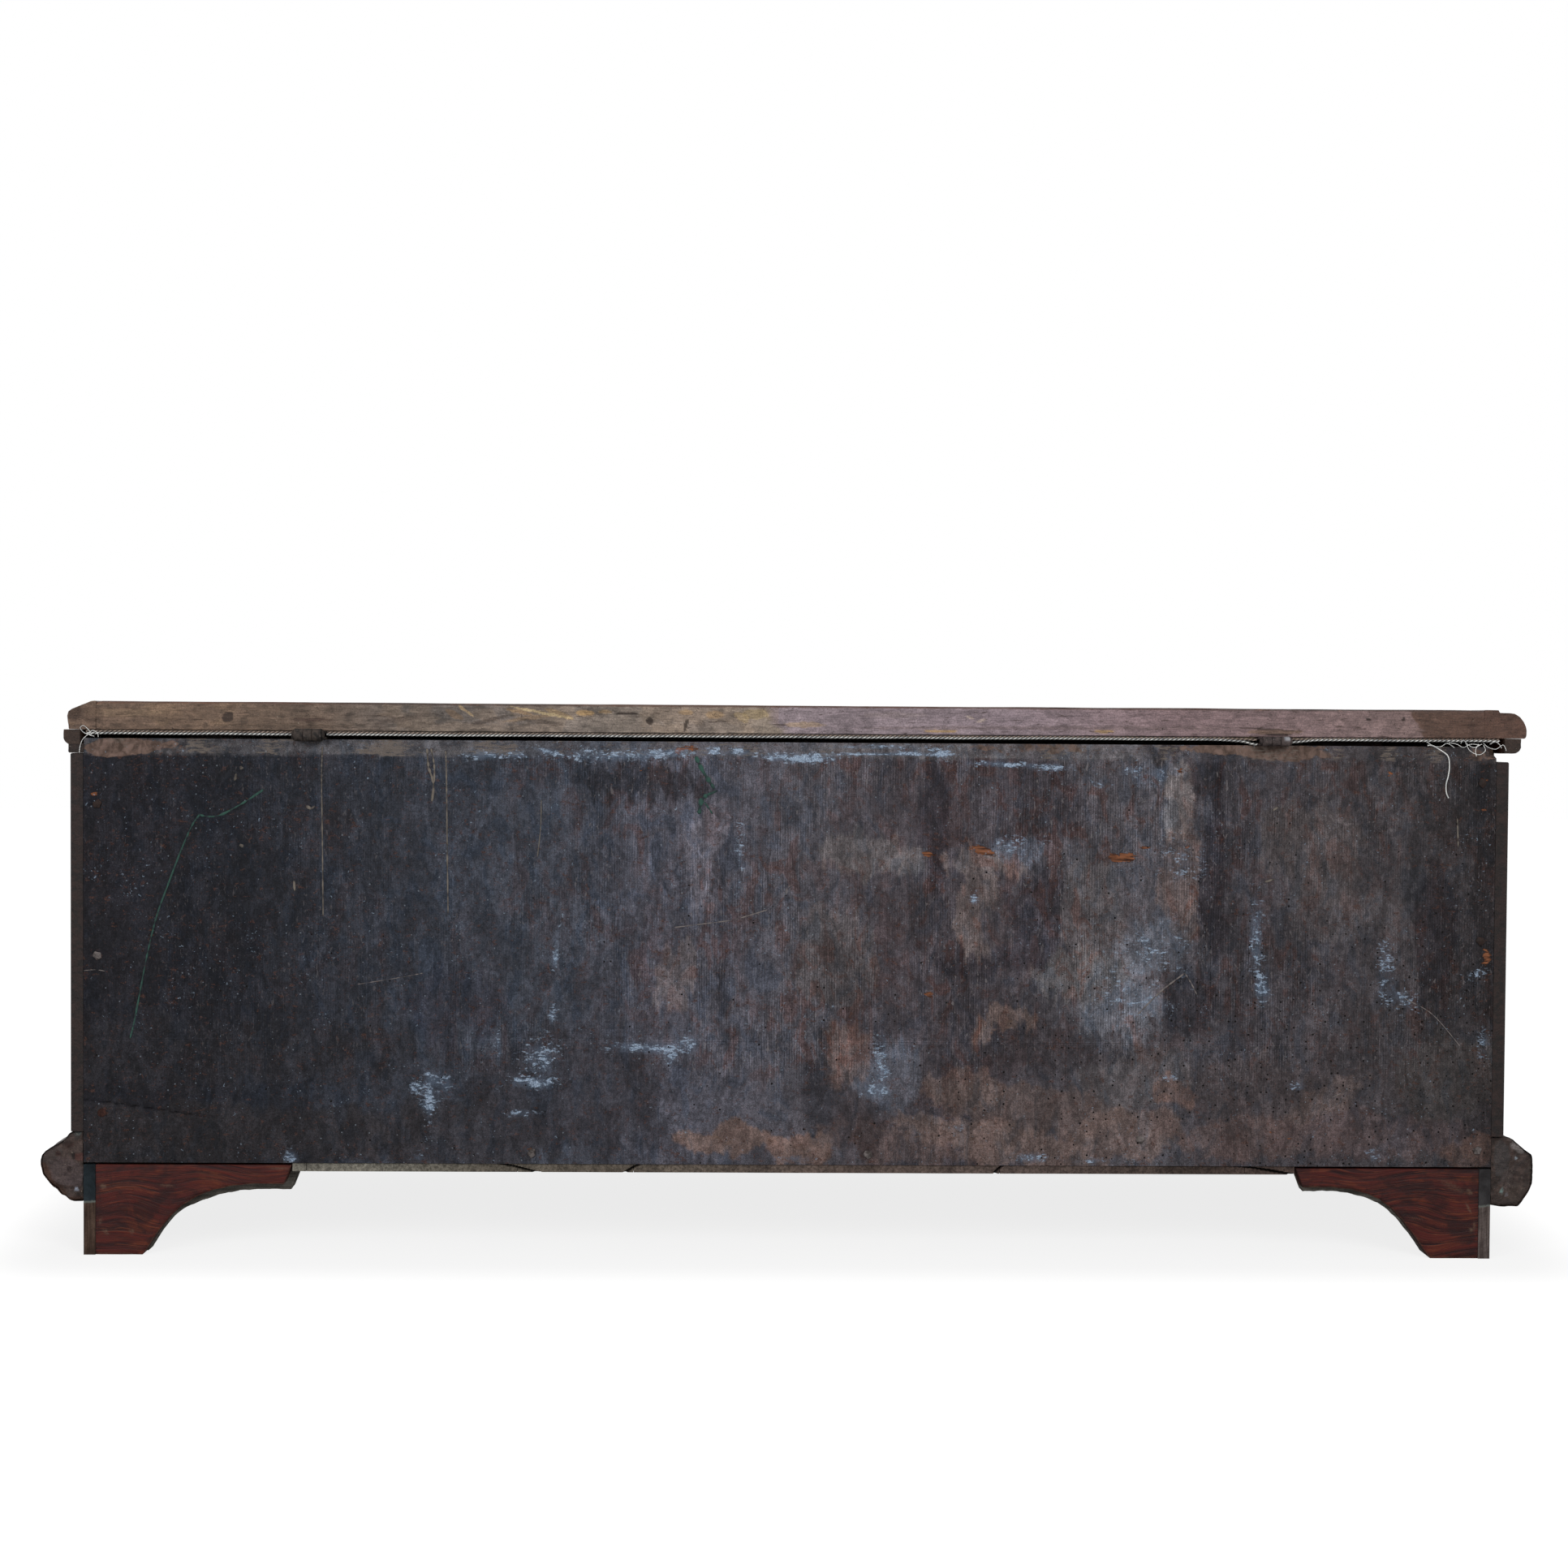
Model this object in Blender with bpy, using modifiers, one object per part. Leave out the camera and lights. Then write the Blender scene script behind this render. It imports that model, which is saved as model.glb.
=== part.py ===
"""A cassapanca: a long chest-bench on bracket feet, with a hinged lid that serves as the seat.

The chest stands on the floor at Z = 0, its front faces -Y and its nailed plank back faces +Y.
Left and right are said as seen from the front, so right is +X. All sizes are in metres.
"""
import math

import bmesh
import bpy
from mathutils import Matrix, Vector

# Clearances and overruns
FIT = 0.0003
CUT_OVERRUN = 0.004

# Chest box
CHEST_LENGTH = 1.665
CHEST_DEPTH = 0.520
END_THICKNESS = 0.042
FRONT_THICKNESS = 0.030
BACK_THICKNESS = 0.022
END_TOP = 0.5805
BACK_BOTTOM = 0.105
BACK_RISE = 0.0175
LOWER_PLANK_WIDTH = 0.1455
BACK_LIP = 0.0145
BOARD_EASE = 0.0012

# Dovetails at the front corners
DOVETAIL_COUNT = 5
DOVETAIL_WIDTH = 0.044
DOVETAIL_FLARE = 0.006

# Bottom boards, laid from front to back
BOTTOM_UNDERSIDE = 0.099
BOTTOM_THICKNESS = 0.028
BOTTOM_BOARD_GAP = 0.0006
BOTTOM_TONGUE_INSET = 0.002
BOTTOM_JOINT_SHARES = (0.401, 0.231, -0.308)
BOTTOM_RIGHT_JOINT_INSET = 0.0172
BOTTOM_LEFT_JOINT_INSET = 0.0599

# Base moulding
BASE_BOTTOM = 0.060
BASE_HEIGHT = 0.083
BASE_PROJECTION = 0.036
BASE_ROLL_RADIUS = 0.022
BASE_ROLL_HEIGHT = 0.105
BASE_FOOT_PROJECTION = 0.008
BASE_ROLL_TOP_ANGLE = math.radians(50)
BASE_ROLL_BOTTOM_ANGLE = math.radians(-40)
BASE_ROLL_STEPS = 7

# Bracket feet
FOOT_THICKNESS = 0.0135
REAR_FOOT_THICKNESS = 0.020
REAR_FOOT_INSET = 0.001
REAR_FOOT_LENGTH_RIGHT = 0.226
REAR_FOOT_LENGTH_LEFT = 0.215
FRONT_FOOT_LENGTH = 0.240
SIDE_FOOT_LENGTH = 0.190
FOOT_TOE = 0.056
FOOT_ARCH_RISE = 0.082
FOOT_TIP_SLANT = 0.009
FOOT_ARCH_STEPS = 8
FOOT_ARCH_SHARES = ((0.298, 0.805), (0.400, 1.050))
BACKING_THICKNESS = 0.020
BACKING_SHOW = 0.006
BLOCK_SIDE = 0.032
BLOCK_CLEARANCE = 0.004

# Lid
LID_RISE = 0.0275
LID_THICKNESS = 0.033
LID_BOARD_INSET = 0.0295
LID_FRONT_OVERHANG = 0.026
NOSING_SEAM_INSET = 0.024
NOSING_RIGHT_WIDTH = 0.035
NOSING_LEFT_WIDTH = 0.050
NOSING_STEP = 0.004
NOSING_FLAT = 0.012
NOSING_ROUND_HEIGHT = 0.020
NOSING_ROUND_STEPS = 6
STRIP_WIDTH = 0.020
STRIP_HEIGHT = 0.0175
STRIP_CHAMFER = 0.006
STRIP_RIGHT_STANDOUT = 0.0080
STRIP_LEFT_STANDOUT = 0.0141
STRIP_FRONT_GAP = 0.0005

# Butt hinges
HINGE_END_DISTANCE = 0.2745
HINGE_LENGTH = 0.038
HINGE_RADIUS = 0.008
HINGE_STANDOFF = 0.0005
HINGE_PIN_RADIUS = 0.0035
HINGE_PIN_HEAD = 0.0065
HINGE_PIN_HEAD_THICKNESS = 0.003
HINGE_LEAF_THICKNESS = 0.0025
HINGE_LEAF_DEPTH = 0.030
HINGE_LEAF_LAP = 0.004
KNUCKLE_GAP = 0.0004
KNUCKLE_SIDES = 20

# Lock on the inner face of the front board
LOCK_LENGTH = 0.110
LOCK_HEIGHT = 0.075
LOCK_DEPTH = 0.022
LOCK_TOP_DROP = 0.006
LOCK_SLOT_CLEARANCE = 0.0015
BOLT_LENGTH = 0.046
BOLT_SIDE = 0.0065
BOLT_CLEARANCE = 0.0005
BOLT_DROP = 0.016
BOLT_REST_GAP = 0.003
STAPLE_WIDTH = 0.014
STAPLE_THICKNESS = 0.005
STAPLE_EYE_HEIGHT = 0.010
STAPLE_EYE_WIDTH = 0.009
STAPLE_PLATE_LENGTH = 0.056
STAPLE_PLATE_DEPTH = 0.020
STAPLE_PLATE_THICKNESS = 0.002
STAPLE_EYE_FLOOR = 0.004
ESCUTCHEON_LENGTH = 0.044
ESCUTCHEON_HEIGHT = 0.060
ESCUTCHEON_THICKNESS = 0.0015
KEYHOLE_RADIUS = 0.004
KEYHOLE_SLOT_WIDTH = 0.004
KEYHOLE_SLOT_HEIGHT = 0.014
KEYHOLE_SIDES = 12

# Nails and pegs
NAIL_RADIUS = 0.0018
NAIL_HEAD_RADIUS = 0.0060
NAIL_HEAD_CROWN_SHARE = 0.55
NAIL_HEAD_HEIGHT = 0.0022
NAIL_LENGTH = 0.040
NAIL_SHORT_LENGTH = 0.016
NAIL_SIDES = 8
NAIL_END_INSET = 0.031
NAIL_LEFT_SHARES = (0.045, 0.542, 0.915)
NAIL_RIGHT_SHARES = (0.491, 0.846)
NAIL_BOTTOM_SHARES = ((0.361, 0.0308), (-0.108, 0.0296))
NAIL_STRAY_SHARES = (-0.489, 0.068)
PEG_RADIUS = 0.005
PEG_LENGTH = 0.036
PEG_END_INSET = 0.036
PEG_HEIGHT_SHARE = 0.122
PEG_PROUD = 0.0008

# Lining of the lid and its braid trim
LINING_THICKNESS = 0.0012
LINING_MARGIN = 0.004
LINING_CLEARANCE = 0.0015
BRAID_HEIGHT = 0.0070
BRAID_THICKNESS = 0.0035
BRAID_DROP = 0.0006
BRAID_END_CLEARANCE = 0.0010
BRAID_RIGHT_INSET = 0.016
BRAID_LEFT_INSET = 0.010

# Loose thread that hangs from the braid near the left end
THREAD_DIAMETER = 0.0014
THREAD_BEVEL_RESOLUTION = 2
THREAD_POINTS = 26
THREAD_ROUTE = (
    (-0.7370, -0.0012, 0.5994),
    (-0.7420, 0.0003, 0.5993),
    (-0.7490, 0.0018, 0.5955),
    (-0.7600, 0.0014, 0.5875),
    (-0.7622, 0.0012, 0.5760),
    (-0.7612, 0.0012, 0.5650),
    (-0.7586, 0.0013, 0.5544),
    (-0.7590, 0.0012, 0.5450),
    (-0.7616, 0.0012, 0.5384),
)

# Derived places
CHEST_HALF = CHEST_LENGTH / 2
BARREL_PROUD = HINGE_STANDOFF + 2 * HINGE_RADIUS
BACK_Y = (BASE_PROJECTION + CHEST_DEPTH + BARREL_PROUD) / 2 - BARREL_PROUD
FRONT_Y = BACK_Y - CHEST_DEPTH
INNER_HALF = CHEST_HALF - END_THICKNESS
LIP_HALF = CHEST_HALF - BACK_LIP
BACK_TOP = END_TOP + BACK_RISE
BACK_JOINT = BACK_BOTTOM + LOWER_PLANK_WIDTH
FRONT_INNER_Y = FRONT_Y + FRONT_THICKNESS
BACK_INNER_Y = BACK_Y - BACK_THICKNESS
FRONT_REBATE_Y = FRONT_Y + BACK_LIP
BASE_TOP = BASE_BOTTOM + BASE_HEIGHT
LID_UNDERSIDE = END_TOP + LID_RISE
LID_TOP = LID_UNDERSIDE + LID_THICKNESS
LID_BOARD_HALF = CHEST_HALF - LID_BOARD_INSET
LID_RIGHT_END = LID_BOARD_HALF + NOSING_RIGHT_WIDTH
LID_LEFT_END = LID_BOARD_HALF + NOSING_LEFT_WIDTH
STRIP_RIGHT_OUTER = CHEST_HALF + STRIP_RIGHT_STANDOUT
STRIP_LEFT_OUTER = CHEST_HALF + STRIP_LEFT_STANDOUT
BRAID_RIGHT_END = CHEST_HALF - BRAID_RIGHT_INSET
BRAID_LEFT_END = CHEST_HALF - BRAID_LEFT_INSET
LID_FRONT_Y = FRONT_Y - LID_FRONT_OVERHANG
NOSING_SEAM_Y = FRONT_Y + NOSING_SEAM_INSET
HINGE_CENTRE = CHEST_HALF - HINGE_END_DISTANCE
HINGE_Y = BACK_Y + HINGE_STANDOFF + HINGE_RADIUS
HINGE_Z = (LID_UNDERSIDE + BACK_TOP) / 2
FOOT_TOP = BACK_BOTTOM - FIT
FOOT_INNER = LIP_HALF - FOOT_THICKNESS
LOCK_TOP = END_TOP + LOCK_TOP_DROP

COLLECTION_NAME = "cassapanca"


# Scene and materials

def clear_scene():
    for found in list(bpy.data.objects):
        bpy.data.objects.remove(found, do_unlink=True)


def make_collection(name):
    made = bpy.data.collections.new(name)
    bpy.context.scene.collection.children.link(made)
    return made


def linear(channel):
    return channel / 12.92 if channel <= 0.04045 else ((channel + 0.055) / 1.055) ** 2.4


def make_material(name, colour, roughness, metallic=0.0):
    """A Principled material from an sRGB colour written as six hex digits."""
    made = bpy.data.materials.new(name)
    made.use_nodes = True
    shader = made.node_tree.nodes["Principled BSDF"]
    values = [linear(int(colour[i:i + 2], 16) / 255) for i in (0, 2, 4)]
    shader.inputs["Base Color"].default_value = (*values, 1.0)
    shader.inputs["Roughness"].default_value = roughness
    shader.inputs["Metallic"].default_value = metallic
    return made


clear_scene()
PARTS = make_collection(COLLECTION_NAME)
CUTTERS = make_collection(COLLECTION_NAME + "_cutters")
BACK_WOOD = make_material("grimed back planks", "3a3736", 0.75)
STAINED_WOOD = make_material("stained walnut", "5a3222", 0.50)
FOOT_WOOD = make_material("red stained pine", "5b2a20", 0.45)
RAW_WOOD = make_material("bare grey wood", "6e6253", 0.85)
IRON = make_material("rusted iron", "4a3a33", 0.70, 1.0)
LINEN = make_material("lining cloth", "a89a80", 0.95)
BRAID = make_material("braid cord", "c9c2ae", 0.90)


# Building blocks

def add_object(name, mesh, material, cutter=False):
    made = bpy.data.objects.new(name, mesh)
    if material is not None:
        mesh.materials.append(material)
    home = CUTTERS if cutter else PARTS
    home.objects.link(made)
    if cutter:
        made.hide_render = True
        made.display_type = "WIRE"
    return made


def box(name, low, high, material=None, ease=0.0, cutter=False):
    """A box between two corners, with its origin at its centre and its edges eased."""
    size = Vector(high) - Vector(low)
    shape = bmesh.new()
    bmesh.ops.create_cube(shape, size=1)
    bmesh.ops.scale(shape, vec=size, verts=shape.verts)
    mesh = bpy.data.meshes.new(name)
    shape.to_mesh(mesh)
    shape.free()
    made = add_object(name, mesh, material, cutter)
    made.location = (Vector(high) + Vector(low)) / 2
    if ease:
        bevel = made.modifiers.new("eased edges", "BEVEL")
        bevel.width = ease
        bevel.segments = 1
        bevel.limit_method = "ANGLE"
    return made


def cylinder(name, radius, length, sides, turn, place, material=None, cutter=False):
    """A cylinder along Z that is turned and then placed."""
    shape = bmesh.new()
    bmesh.ops.create_cone(shape, cap_ends=True, segments=sides, radius1=radius, radius2=radius, depth=length)
    mesh = bpy.data.meshes.new(name)
    shape.to_mesh(mesh)
    shape.free()
    made = add_object(name, mesh, material, cutter)
    made.matrix_world = Matrix.Translation(place) @ turn
    return made


def plate(name, outline, thickness, matrix, material=None, cutter=False):
    """A flat outline with a thickness, welded to a mesh, lying in its own XY plane."""
    curve = bpy.data.curves.new(name, "CURVE")
    curve.dimensions = "2D"
    curve.fill_mode = "BOTH"
    curve.extrude = thickness / 2
    spline = curve.splines.new("POLY")
    spline.points.add(len(outline) - 1)
    for point, place in zip(spline.points, outline):
        point.co = (place[0], place[1], 0, 1)
    spline.use_cyclic_u = True
    drawn = bpy.data.objects.new(name + "_outline", curve)
    CUTTERS.objects.link(drawn)
    bpy.context.view_layer.update()
    mesh = bpy.data.meshes.new_from_object(drawn.evaluated_get(bpy.context.evaluated_depsgraph_get()))
    bpy.data.objects.remove(drawn, do_unlink=True)
    mesh.name = name
    shape = bmesh.new()
    shape.from_mesh(mesh)
    bmesh.ops.remove_doubles(shape, verts=shape.verts, dist=FIT / 10)
    bmesh.ops.recalc_face_normals(shape, faces=shape.faces)
    shape.to_mesh(mesh)
    shape.free()
    mesh.materials.clear()
    made = add_object(name, mesh, material, cutter)
    made.matrix_world = matrix
    return made


def cut(piece, cutter):
    change = piece.modifiers.new("cut by " + cutter.name, "BOOLEAN")
    change.operation = "DIFFERENCE"
    change.object = cutter


def join(piece, other):
    change = piece.modifiers.new("joined to " + other.name, "BOOLEAN")
    change.operation = "UNION"
    change.object = other


def smooth(piece, angle=math.radians(35)):
    piece.data.shade_smooth()
    piece.data.set_sharp_from_angle(angle=angle)


ALONG_X = Matrix.Rotation(math.pi / 2, 4, "Y")
ALONG_Y = Matrix.Rotation(math.pi / 2, 4, "X")
UPRIGHT_ALONG = Matrix.Rotation(math.pi / 2, 4, "Z") @ Matrix.Rotation(math.pi / 2, 4, "X")


# Chest box

def dovetail_outline(grow):
    """A tail in plan of its own face: narrow at the shoulder, wide at the front, for height z."""
    half = DOVETAIL_WIDTH / 2 + grow
    start = FRONT_INNER_Y + CUT_OVERRUN
    slope = DOVETAIL_FLARE / FRONT_THICKNESS
    neck = half - CUT_OVERRUN * slope
    front = FRONT_Y if grow == 0 else FRONT_Y - CUT_OVERRUN
    reach = half + DOVETAIL_FLARE + (FRONT_Y - front) * slope
    return ((start, -neck), (start, neck), (front, reach), (front, -reach))


def dovetail_heights():
    span = END_TOP - BASE_TOP
    pitch = span / DOVETAIL_COUNT
    return [BASE_TOP + pitch * (i + 0.5) for i in range(DOVETAIL_COUNT)]


def tails(name, side, grow):
    """The tails of one corner, as prisms through the end board's thickness."""
    made = []
    middle = side * (CHEST_HALF - END_THICKNESS / 2)
    thickness = END_THICKNESS if grow == 0 else END_THICKNESS + 2 * CUT_OVERRUN
    for number, height in enumerate(dovetail_heights()):
        place = Matrix.Translation((middle, 0, height)) @ UPRIGHT_ALONG
        made.append(plate(f"{name}_{number}", dovetail_outline(grow), thickness, place, cutter=True))
    return made


def end_board(name, side):
    inner = side * INNER_HALF
    outer = side * CHEST_HALF
    low_x = min(inner, outer)
    high_x = max(inner, outer)
    made = box(
        name, (low_x, FRONT_INNER_Y + FIT, BACK_BOTTOM), (high_x, BACK_Y - FIT, END_TOP), STAINED_WOOD,
        BOARD_EASE,
    )
    lip = side * LIP_HALF
    away = side * (CHEST_HALF + CUT_OVERRUN)
    within = side * (INNER_HALF - CUT_OVERRUN)
    base_cut = box(
        name + "_base_cut",
        (min(lip, away), FRONT_Y - CUT_OVERRUN, BACK_BOTTOM - CUT_OVERRUN),
        (max(lip, away), BACK_Y + CUT_OVERRUN, BASE_TOP + FIT),
        cutter=True,
    )
    back_cut = box(
        name + "_back_cut",
        (min(lip, within), BACK_INNER_Y - FIT, BACK_BOTTOM - CUT_OVERRUN),
        (max(lip, within), BACK_Y + CUT_OVERRUN, END_TOP + CUT_OVERRUN),
        cutter=True,
    )
    cut(made, base_cut)
    cut(made, back_cut)
    for tail in tails(name + "_tail", side, 0):
        join(made, tail)
    return made


def front_board():
    """The front board, with sockets for the tails, corners notched for the lid's strips and a keyhole."""
    name = "front_board"
    made = box(
        name, (-CHEST_HALF, FRONT_Y, BACK_BOTTOM), (CHEST_HALF, FRONT_INNER_Y, LID_UNDERSIDE - FIT),
        STAINED_WOOD, BOARD_EASE,
    )
    base_cut = box(
        name + "_base_cut",
        (-CHEST_HALF - CUT_OVERRUN, FRONT_Y - CUT_OVERRUN, BACK_BOTTOM - CUT_OVERRUN),
        (CHEST_HALF + CUT_OVERRUN, FRONT_REBATE_Y, BASE_TOP + FIT),
        cutter=True,
    )
    cut(made, base_cut)
    for side, word in ((1, "right"), (-1, "left")):
        lip = side * (LIP_HALF - FIT)
        away = side * (CHEST_HALF + CUT_OVERRUN)
        for part, low_z, high_z in (
            ("foot", BACK_BOTTOM - CUT_OVERRUN, BASE_TOP + FIT),
            ("head", END_TOP, LID_UNDERSIDE + CUT_OVERRUN),
        ):
            corner = box(
                f"{name}_{word}_{part}_cut",
                (min(lip, away), FRONT_Y - CUT_OVERRUN, low_z),
                (max(lip, away), FRONT_INNER_Y + CUT_OVERRUN, high_z),
                cutter=True,
            )
            cut(made, corner)
        for tail in tails(f"{name}_{word}_socket", side, FIT):
            cut(made, tail)
    for hole in keyhole_cutters("front_board_keyhole"):
        cut(made, hole)
    return made


def back_plank(name, low_z, high_z):
    half = LIP_HALF - FIT
    return box(name, (-half, BACK_INNER_Y, low_z), (half, BACK_Y, high_z), BACK_WOOD, BOARD_EASE)


def foot_reach(side):
    return FOOT_INNER - (REAR_FOOT_LENGTH_RIGHT if side > 0 else REAR_FOOT_LENGTH_LEFT)


def bottom_boards():
    """Six boards from front to back, each with a thin tongue that shows below the back planks."""
    inner = INNER_HALF - FIT
    right_joint = foot_reach(1) - BOTTOM_RIGHT_JOINT_INSET
    left_joint = BOTTOM_LEFT_JOINT_INSET - foot_reach(-1)
    between = [share * INNER_HALF for share in BOTTOM_JOINT_SHARES]
    joints = [inner, right_joint] + between + [left_joint, -inner]
    top = BOTTOM_UNDERSIDE + BOTTOM_THICKNESS
    seat_cut = box(
        "bottom_seat_cut",
        (-CHEST_HALF, BACK_INNER_Y - FIT, BACK_BOTTOM - FIT),
        (CHEST_HALF, BACK_Y + CUT_OVERRUN, top + CUT_OVERRUN),
        cutter=True,
    )
    front_cut = box(
        "bottom_front_cut",
        (-CHEST_HALF, FRONT_Y, BOTTOM_UNDERSIDE - CUT_OVERRUN),
        (CHEST_HALF, FRONT_REBATE_Y + FOOT_THICKNESS + FIT, BACK_BOTTOM),
        cutter=True,
    )
    foot_cuts = []
    for side, word in ((1, "right"), (-1, "left")):
        reach = side * (foot_reach(side) - FIT)
        away = side * CHEST_HALF
        foot_cuts.append(box(
            f"bottom_foot_cut_{word}",
            (min(reach, away), BACK_INNER_Y - FIT, BOTTOM_UNDERSIDE - CUT_OVERRUN),
            (max(reach, away), BACK_Y + CUT_OVERRUN, BACK_BOTTOM),
            cutter=True,
        ))
    made = []
    for number in range(len(joints) - 1):
        right = joints[number] - (BOTTOM_BOARD_GAP / 2 if number else 0)
        left = joints[number + 1] + (BOTTOM_BOARD_GAP / 2 if number < len(joints) - 2 else 0)
        board = box(
            f"bottom_board_{number + 1}",
            (left, FRONT_INNER_Y + FIT, BOTTOM_UNDERSIDE),
            (right, BACK_Y - BOTTOM_TONGUE_INSET, top),
            RAW_WOOD,
        )
        cut(board, seat_cut)
        cut(board, front_cut)
        if right > foot_reach(1):
            cut(board, foot_cuts[0])
        if left < -foot_reach(-1):
            cut(board, foot_cuts[1])
        made.append(board)
    return made


# Base moulding

def base_profile():
    """The moulding's section: distance out from the chest's face, and height."""
    centre = BASE_PROJECTION - BASE_ROLL_RADIUS
    points = [(-BACK_LIP + FIT, BASE_BOTTOM), (BASE_FOOT_PROJECTION, BASE_BOTTOM)]
    for step in range(BASE_ROLL_STEPS + 1):
        share = step / BASE_ROLL_STEPS
        angle = BASE_ROLL_BOTTOM_ANGLE + (BASE_ROLL_TOP_ANGLE - BASE_ROLL_BOTTOM_ANGLE) * share
        points.append((
            centre + BASE_ROLL_RADIUS * math.cos(angle),
            BASE_ROLL_HEIGHT + BASE_ROLL_RADIUS * math.sin(angle),
        ))
    points += [(0, BASE_TOP), (-BACK_LIP + FIT, BASE_TOP)]
    return points


def mitred(name, profile, length, matrix, start, end, material):
    """A moulding run along its own Z, whose ends lean with the profile's reach for a mitre."""
    made = plate(name, profile, length, matrix, material)
    for vertex in made.data.vertices:
        lean = end if vertex.co.z > 0 else start
        vertex.co.z += lean * vertex.co.x
    return made


def run_matrix(origin, out, along):
    """A frame whose X is the profile's outward direction, Y is up and Z runs along the moulding."""
    matrix = Matrix.Identity(4)
    matrix.col[0] = Vector((*out, 0, 0))
    matrix.col[1] = Vector((0, 0, 1, 0))
    matrix.col[2] = Vector((*along, 0, 0))
    matrix.col[3] = Vector((*origin, 0, 1))
    return matrix


def base_mouldings():
    profile = base_profile()
    front = mitred(
        "base_moulding_front", profile, CHEST_LENGTH - 2 * FIT,
        run_matrix((0, FRONT_Y), (0, -1), (1, 0)), -1, 1, STAINED_WOOD,
    )
    depth = CHEST_DEPTH - FIT
    middle = FRONT_Y + FIT + depth / 2
    right = mitred(
        "base_moulding_right", profile, depth,
        run_matrix((CHEST_HALF, middle), (1, 0), (0, 1)), -1, 0, STAINED_WOOD,
    )
    left = mitred(
        "base_moulding_left", [(-x, z) for x, z in profile], depth,
        run_matrix((-CHEST_HALF, middle), (1, 0), (0, 1)), 1, 0, STAINED_WOOD,
    )
    for made in (front, right, left):
        smooth(made)
    return front, right, left


# Bracket feet

def bezier(a, b, c, d, share):
    rest = 1 - share
    return tuple(
        rest ** 3 * p + 3 * rest ** 2 * share * q + 3 * rest * share ** 2 * r + share ** 3 * s
        for p, q, r, s in zip(a, b, c, d)
    )


def foot_outline(length, height, rise, toe, flip, start=0.0):
    """A bracket foot: upright at its corner, with a concave arch from its toe up to its tip."""
    tip = length - FOOT_TIP_SLANT
    span = tip - toe
    first = (toe, 0)
    last = (tip, rise)
    bend = [(toe + share_x * span, share_z * rise) for share_x, share_z in FOOT_ARCH_SHARES]
    points = [(start, 0), first]
    for step in range(1, FOOT_ARCH_STEPS):
        points.append(bezier(first, bend[0], bend[1], last, step / FOOT_ARCH_STEPS))
    points += [last, (length, height), (start, height)]
    return [(flip * x, z) for x, z in points]


def feet():
    made = []
    for side, word in ((1, "right"), (-1, "left")):
        corner = side * (LIP_HALF - FIT / 2)
        across = foot_outline(FRONT_FOOT_LENGTH, FOOT_TOP, FOOT_ARCH_RISE, FOOT_TOE + FOOT_THICKNESS, -side)
        front_middle = FRONT_REBATE_Y + FIT + FOOT_THICKNESS / 2
        place = Matrix.Translation((corner, front_middle, 0)) @ ALONG_Y
        made.append(plate(f"front_{word}_foot_front", across, FOOT_THICKNESS, place, STAINED_WOOD))
        side_middle = side * (LIP_HALF - FIT - FOOT_THICKNESS / 2)
        along = foot_outline(SIDE_FOOT_LENGTH, FOOT_TOP, FOOT_ARCH_RISE, FOOT_TOE, 1)
        start = front_middle + FOOT_THICKNESS / 2 + FIT
        place = Matrix.Translation((side_middle, start, 0)) @ UPRIGHT_ALONG
        made.append(plate(f"front_{word}_foot_side", along, FOOT_THICKNESS, place, STAINED_WOOD))
        along = foot_outline(SIDE_FOOT_LENGTH, FOOT_TOP, FOOT_ARCH_RISE, FOOT_TOE, -1)
        place = Matrix.Translation((side_middle, BACK_Y - FIT, 0)) @ UPRIGHT_ALONG
        made.append(plate(f"rear_{word}_foot_side", along, FOOT_THICKNESS, place, RAW_WOOD))
        length = REAR_FOOT_LENGTH_RIGHT if side > 0 else REAR_FOOT_LENGTH_LEFT
        rear_corner = side * (FOOT_INNER - 2 * FIT)
        across = foot_outline(length - FIT, FOOT_TOP, FOOT_ARCH_RISE, FOOT_TOE, -side)
        rear_middle = BACK_Y - REAR_FOOT_INSET - REAR_FOOT_THICKNESS / 2
        place = Matrix.Translation((rear_corner, rear_middle, 0)) @ ALONG_Y
        made.append(plate(f"rear_{word}_foot_back", across, REAR_FOOT_THICKNESS, place, FOOT_WOOD))
        backing = foot_outline(
            length + BACKING_SHOW, BOTTOM_UNDERSIDE - FIT, FOOT_ARCH_RISE - BACKING_SHOW,
            FOOT_TOE + BACKING_SHOW / 2, -side,
        )
        backing_middle = rear_middle - REAR_FOOT_THICKNESS / 2 - FIT - BACKING_THICKNESS / 2
        place = Matrix.Translation((rear_corner, backing_middle, 0)) @ ALONG_Y
        made.append(plate(f"rear_{word}_foot_backing", backing, BACKING_THICKNESS, place, RAW_WOOD))
        made += corner_blocks(side, word, front_middle, backing_middle)
    return made


def corner_blocks(side, word, front_middle, backing_middle):
    """A glued block in each foot's inner corner, under the bottom boards."""
    outer = side * (FOOT_INNER - 2 * FIT)
    inner = side * (FOOT_INNER - 2 * FIT - BLOCK_SIDE)
    low_x, high_x = min(outer, inner), max(outer, inner)
    top = BOTTOM_UNDERSIDE - FIT
    front = front_middle + FOOT_THICKNESS / 2 + FIT
    rear = backing_middle - BACKING_THICKNESS / 2 - FIT
    return [
        box(f"front_{word}_foot_block", (low_x, front, BLOCK_CLEARANCE), (high_x, front + BLOCK_SIDE, top), RAW_WOOD),
        box(f"rear_{word}_foot_block", (low_x, rear - BLOCK_SIDE, BLOCK_CLEARANCE), (high_x, rear, top), RAW_WOOD),
    ]


# Lid

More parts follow.
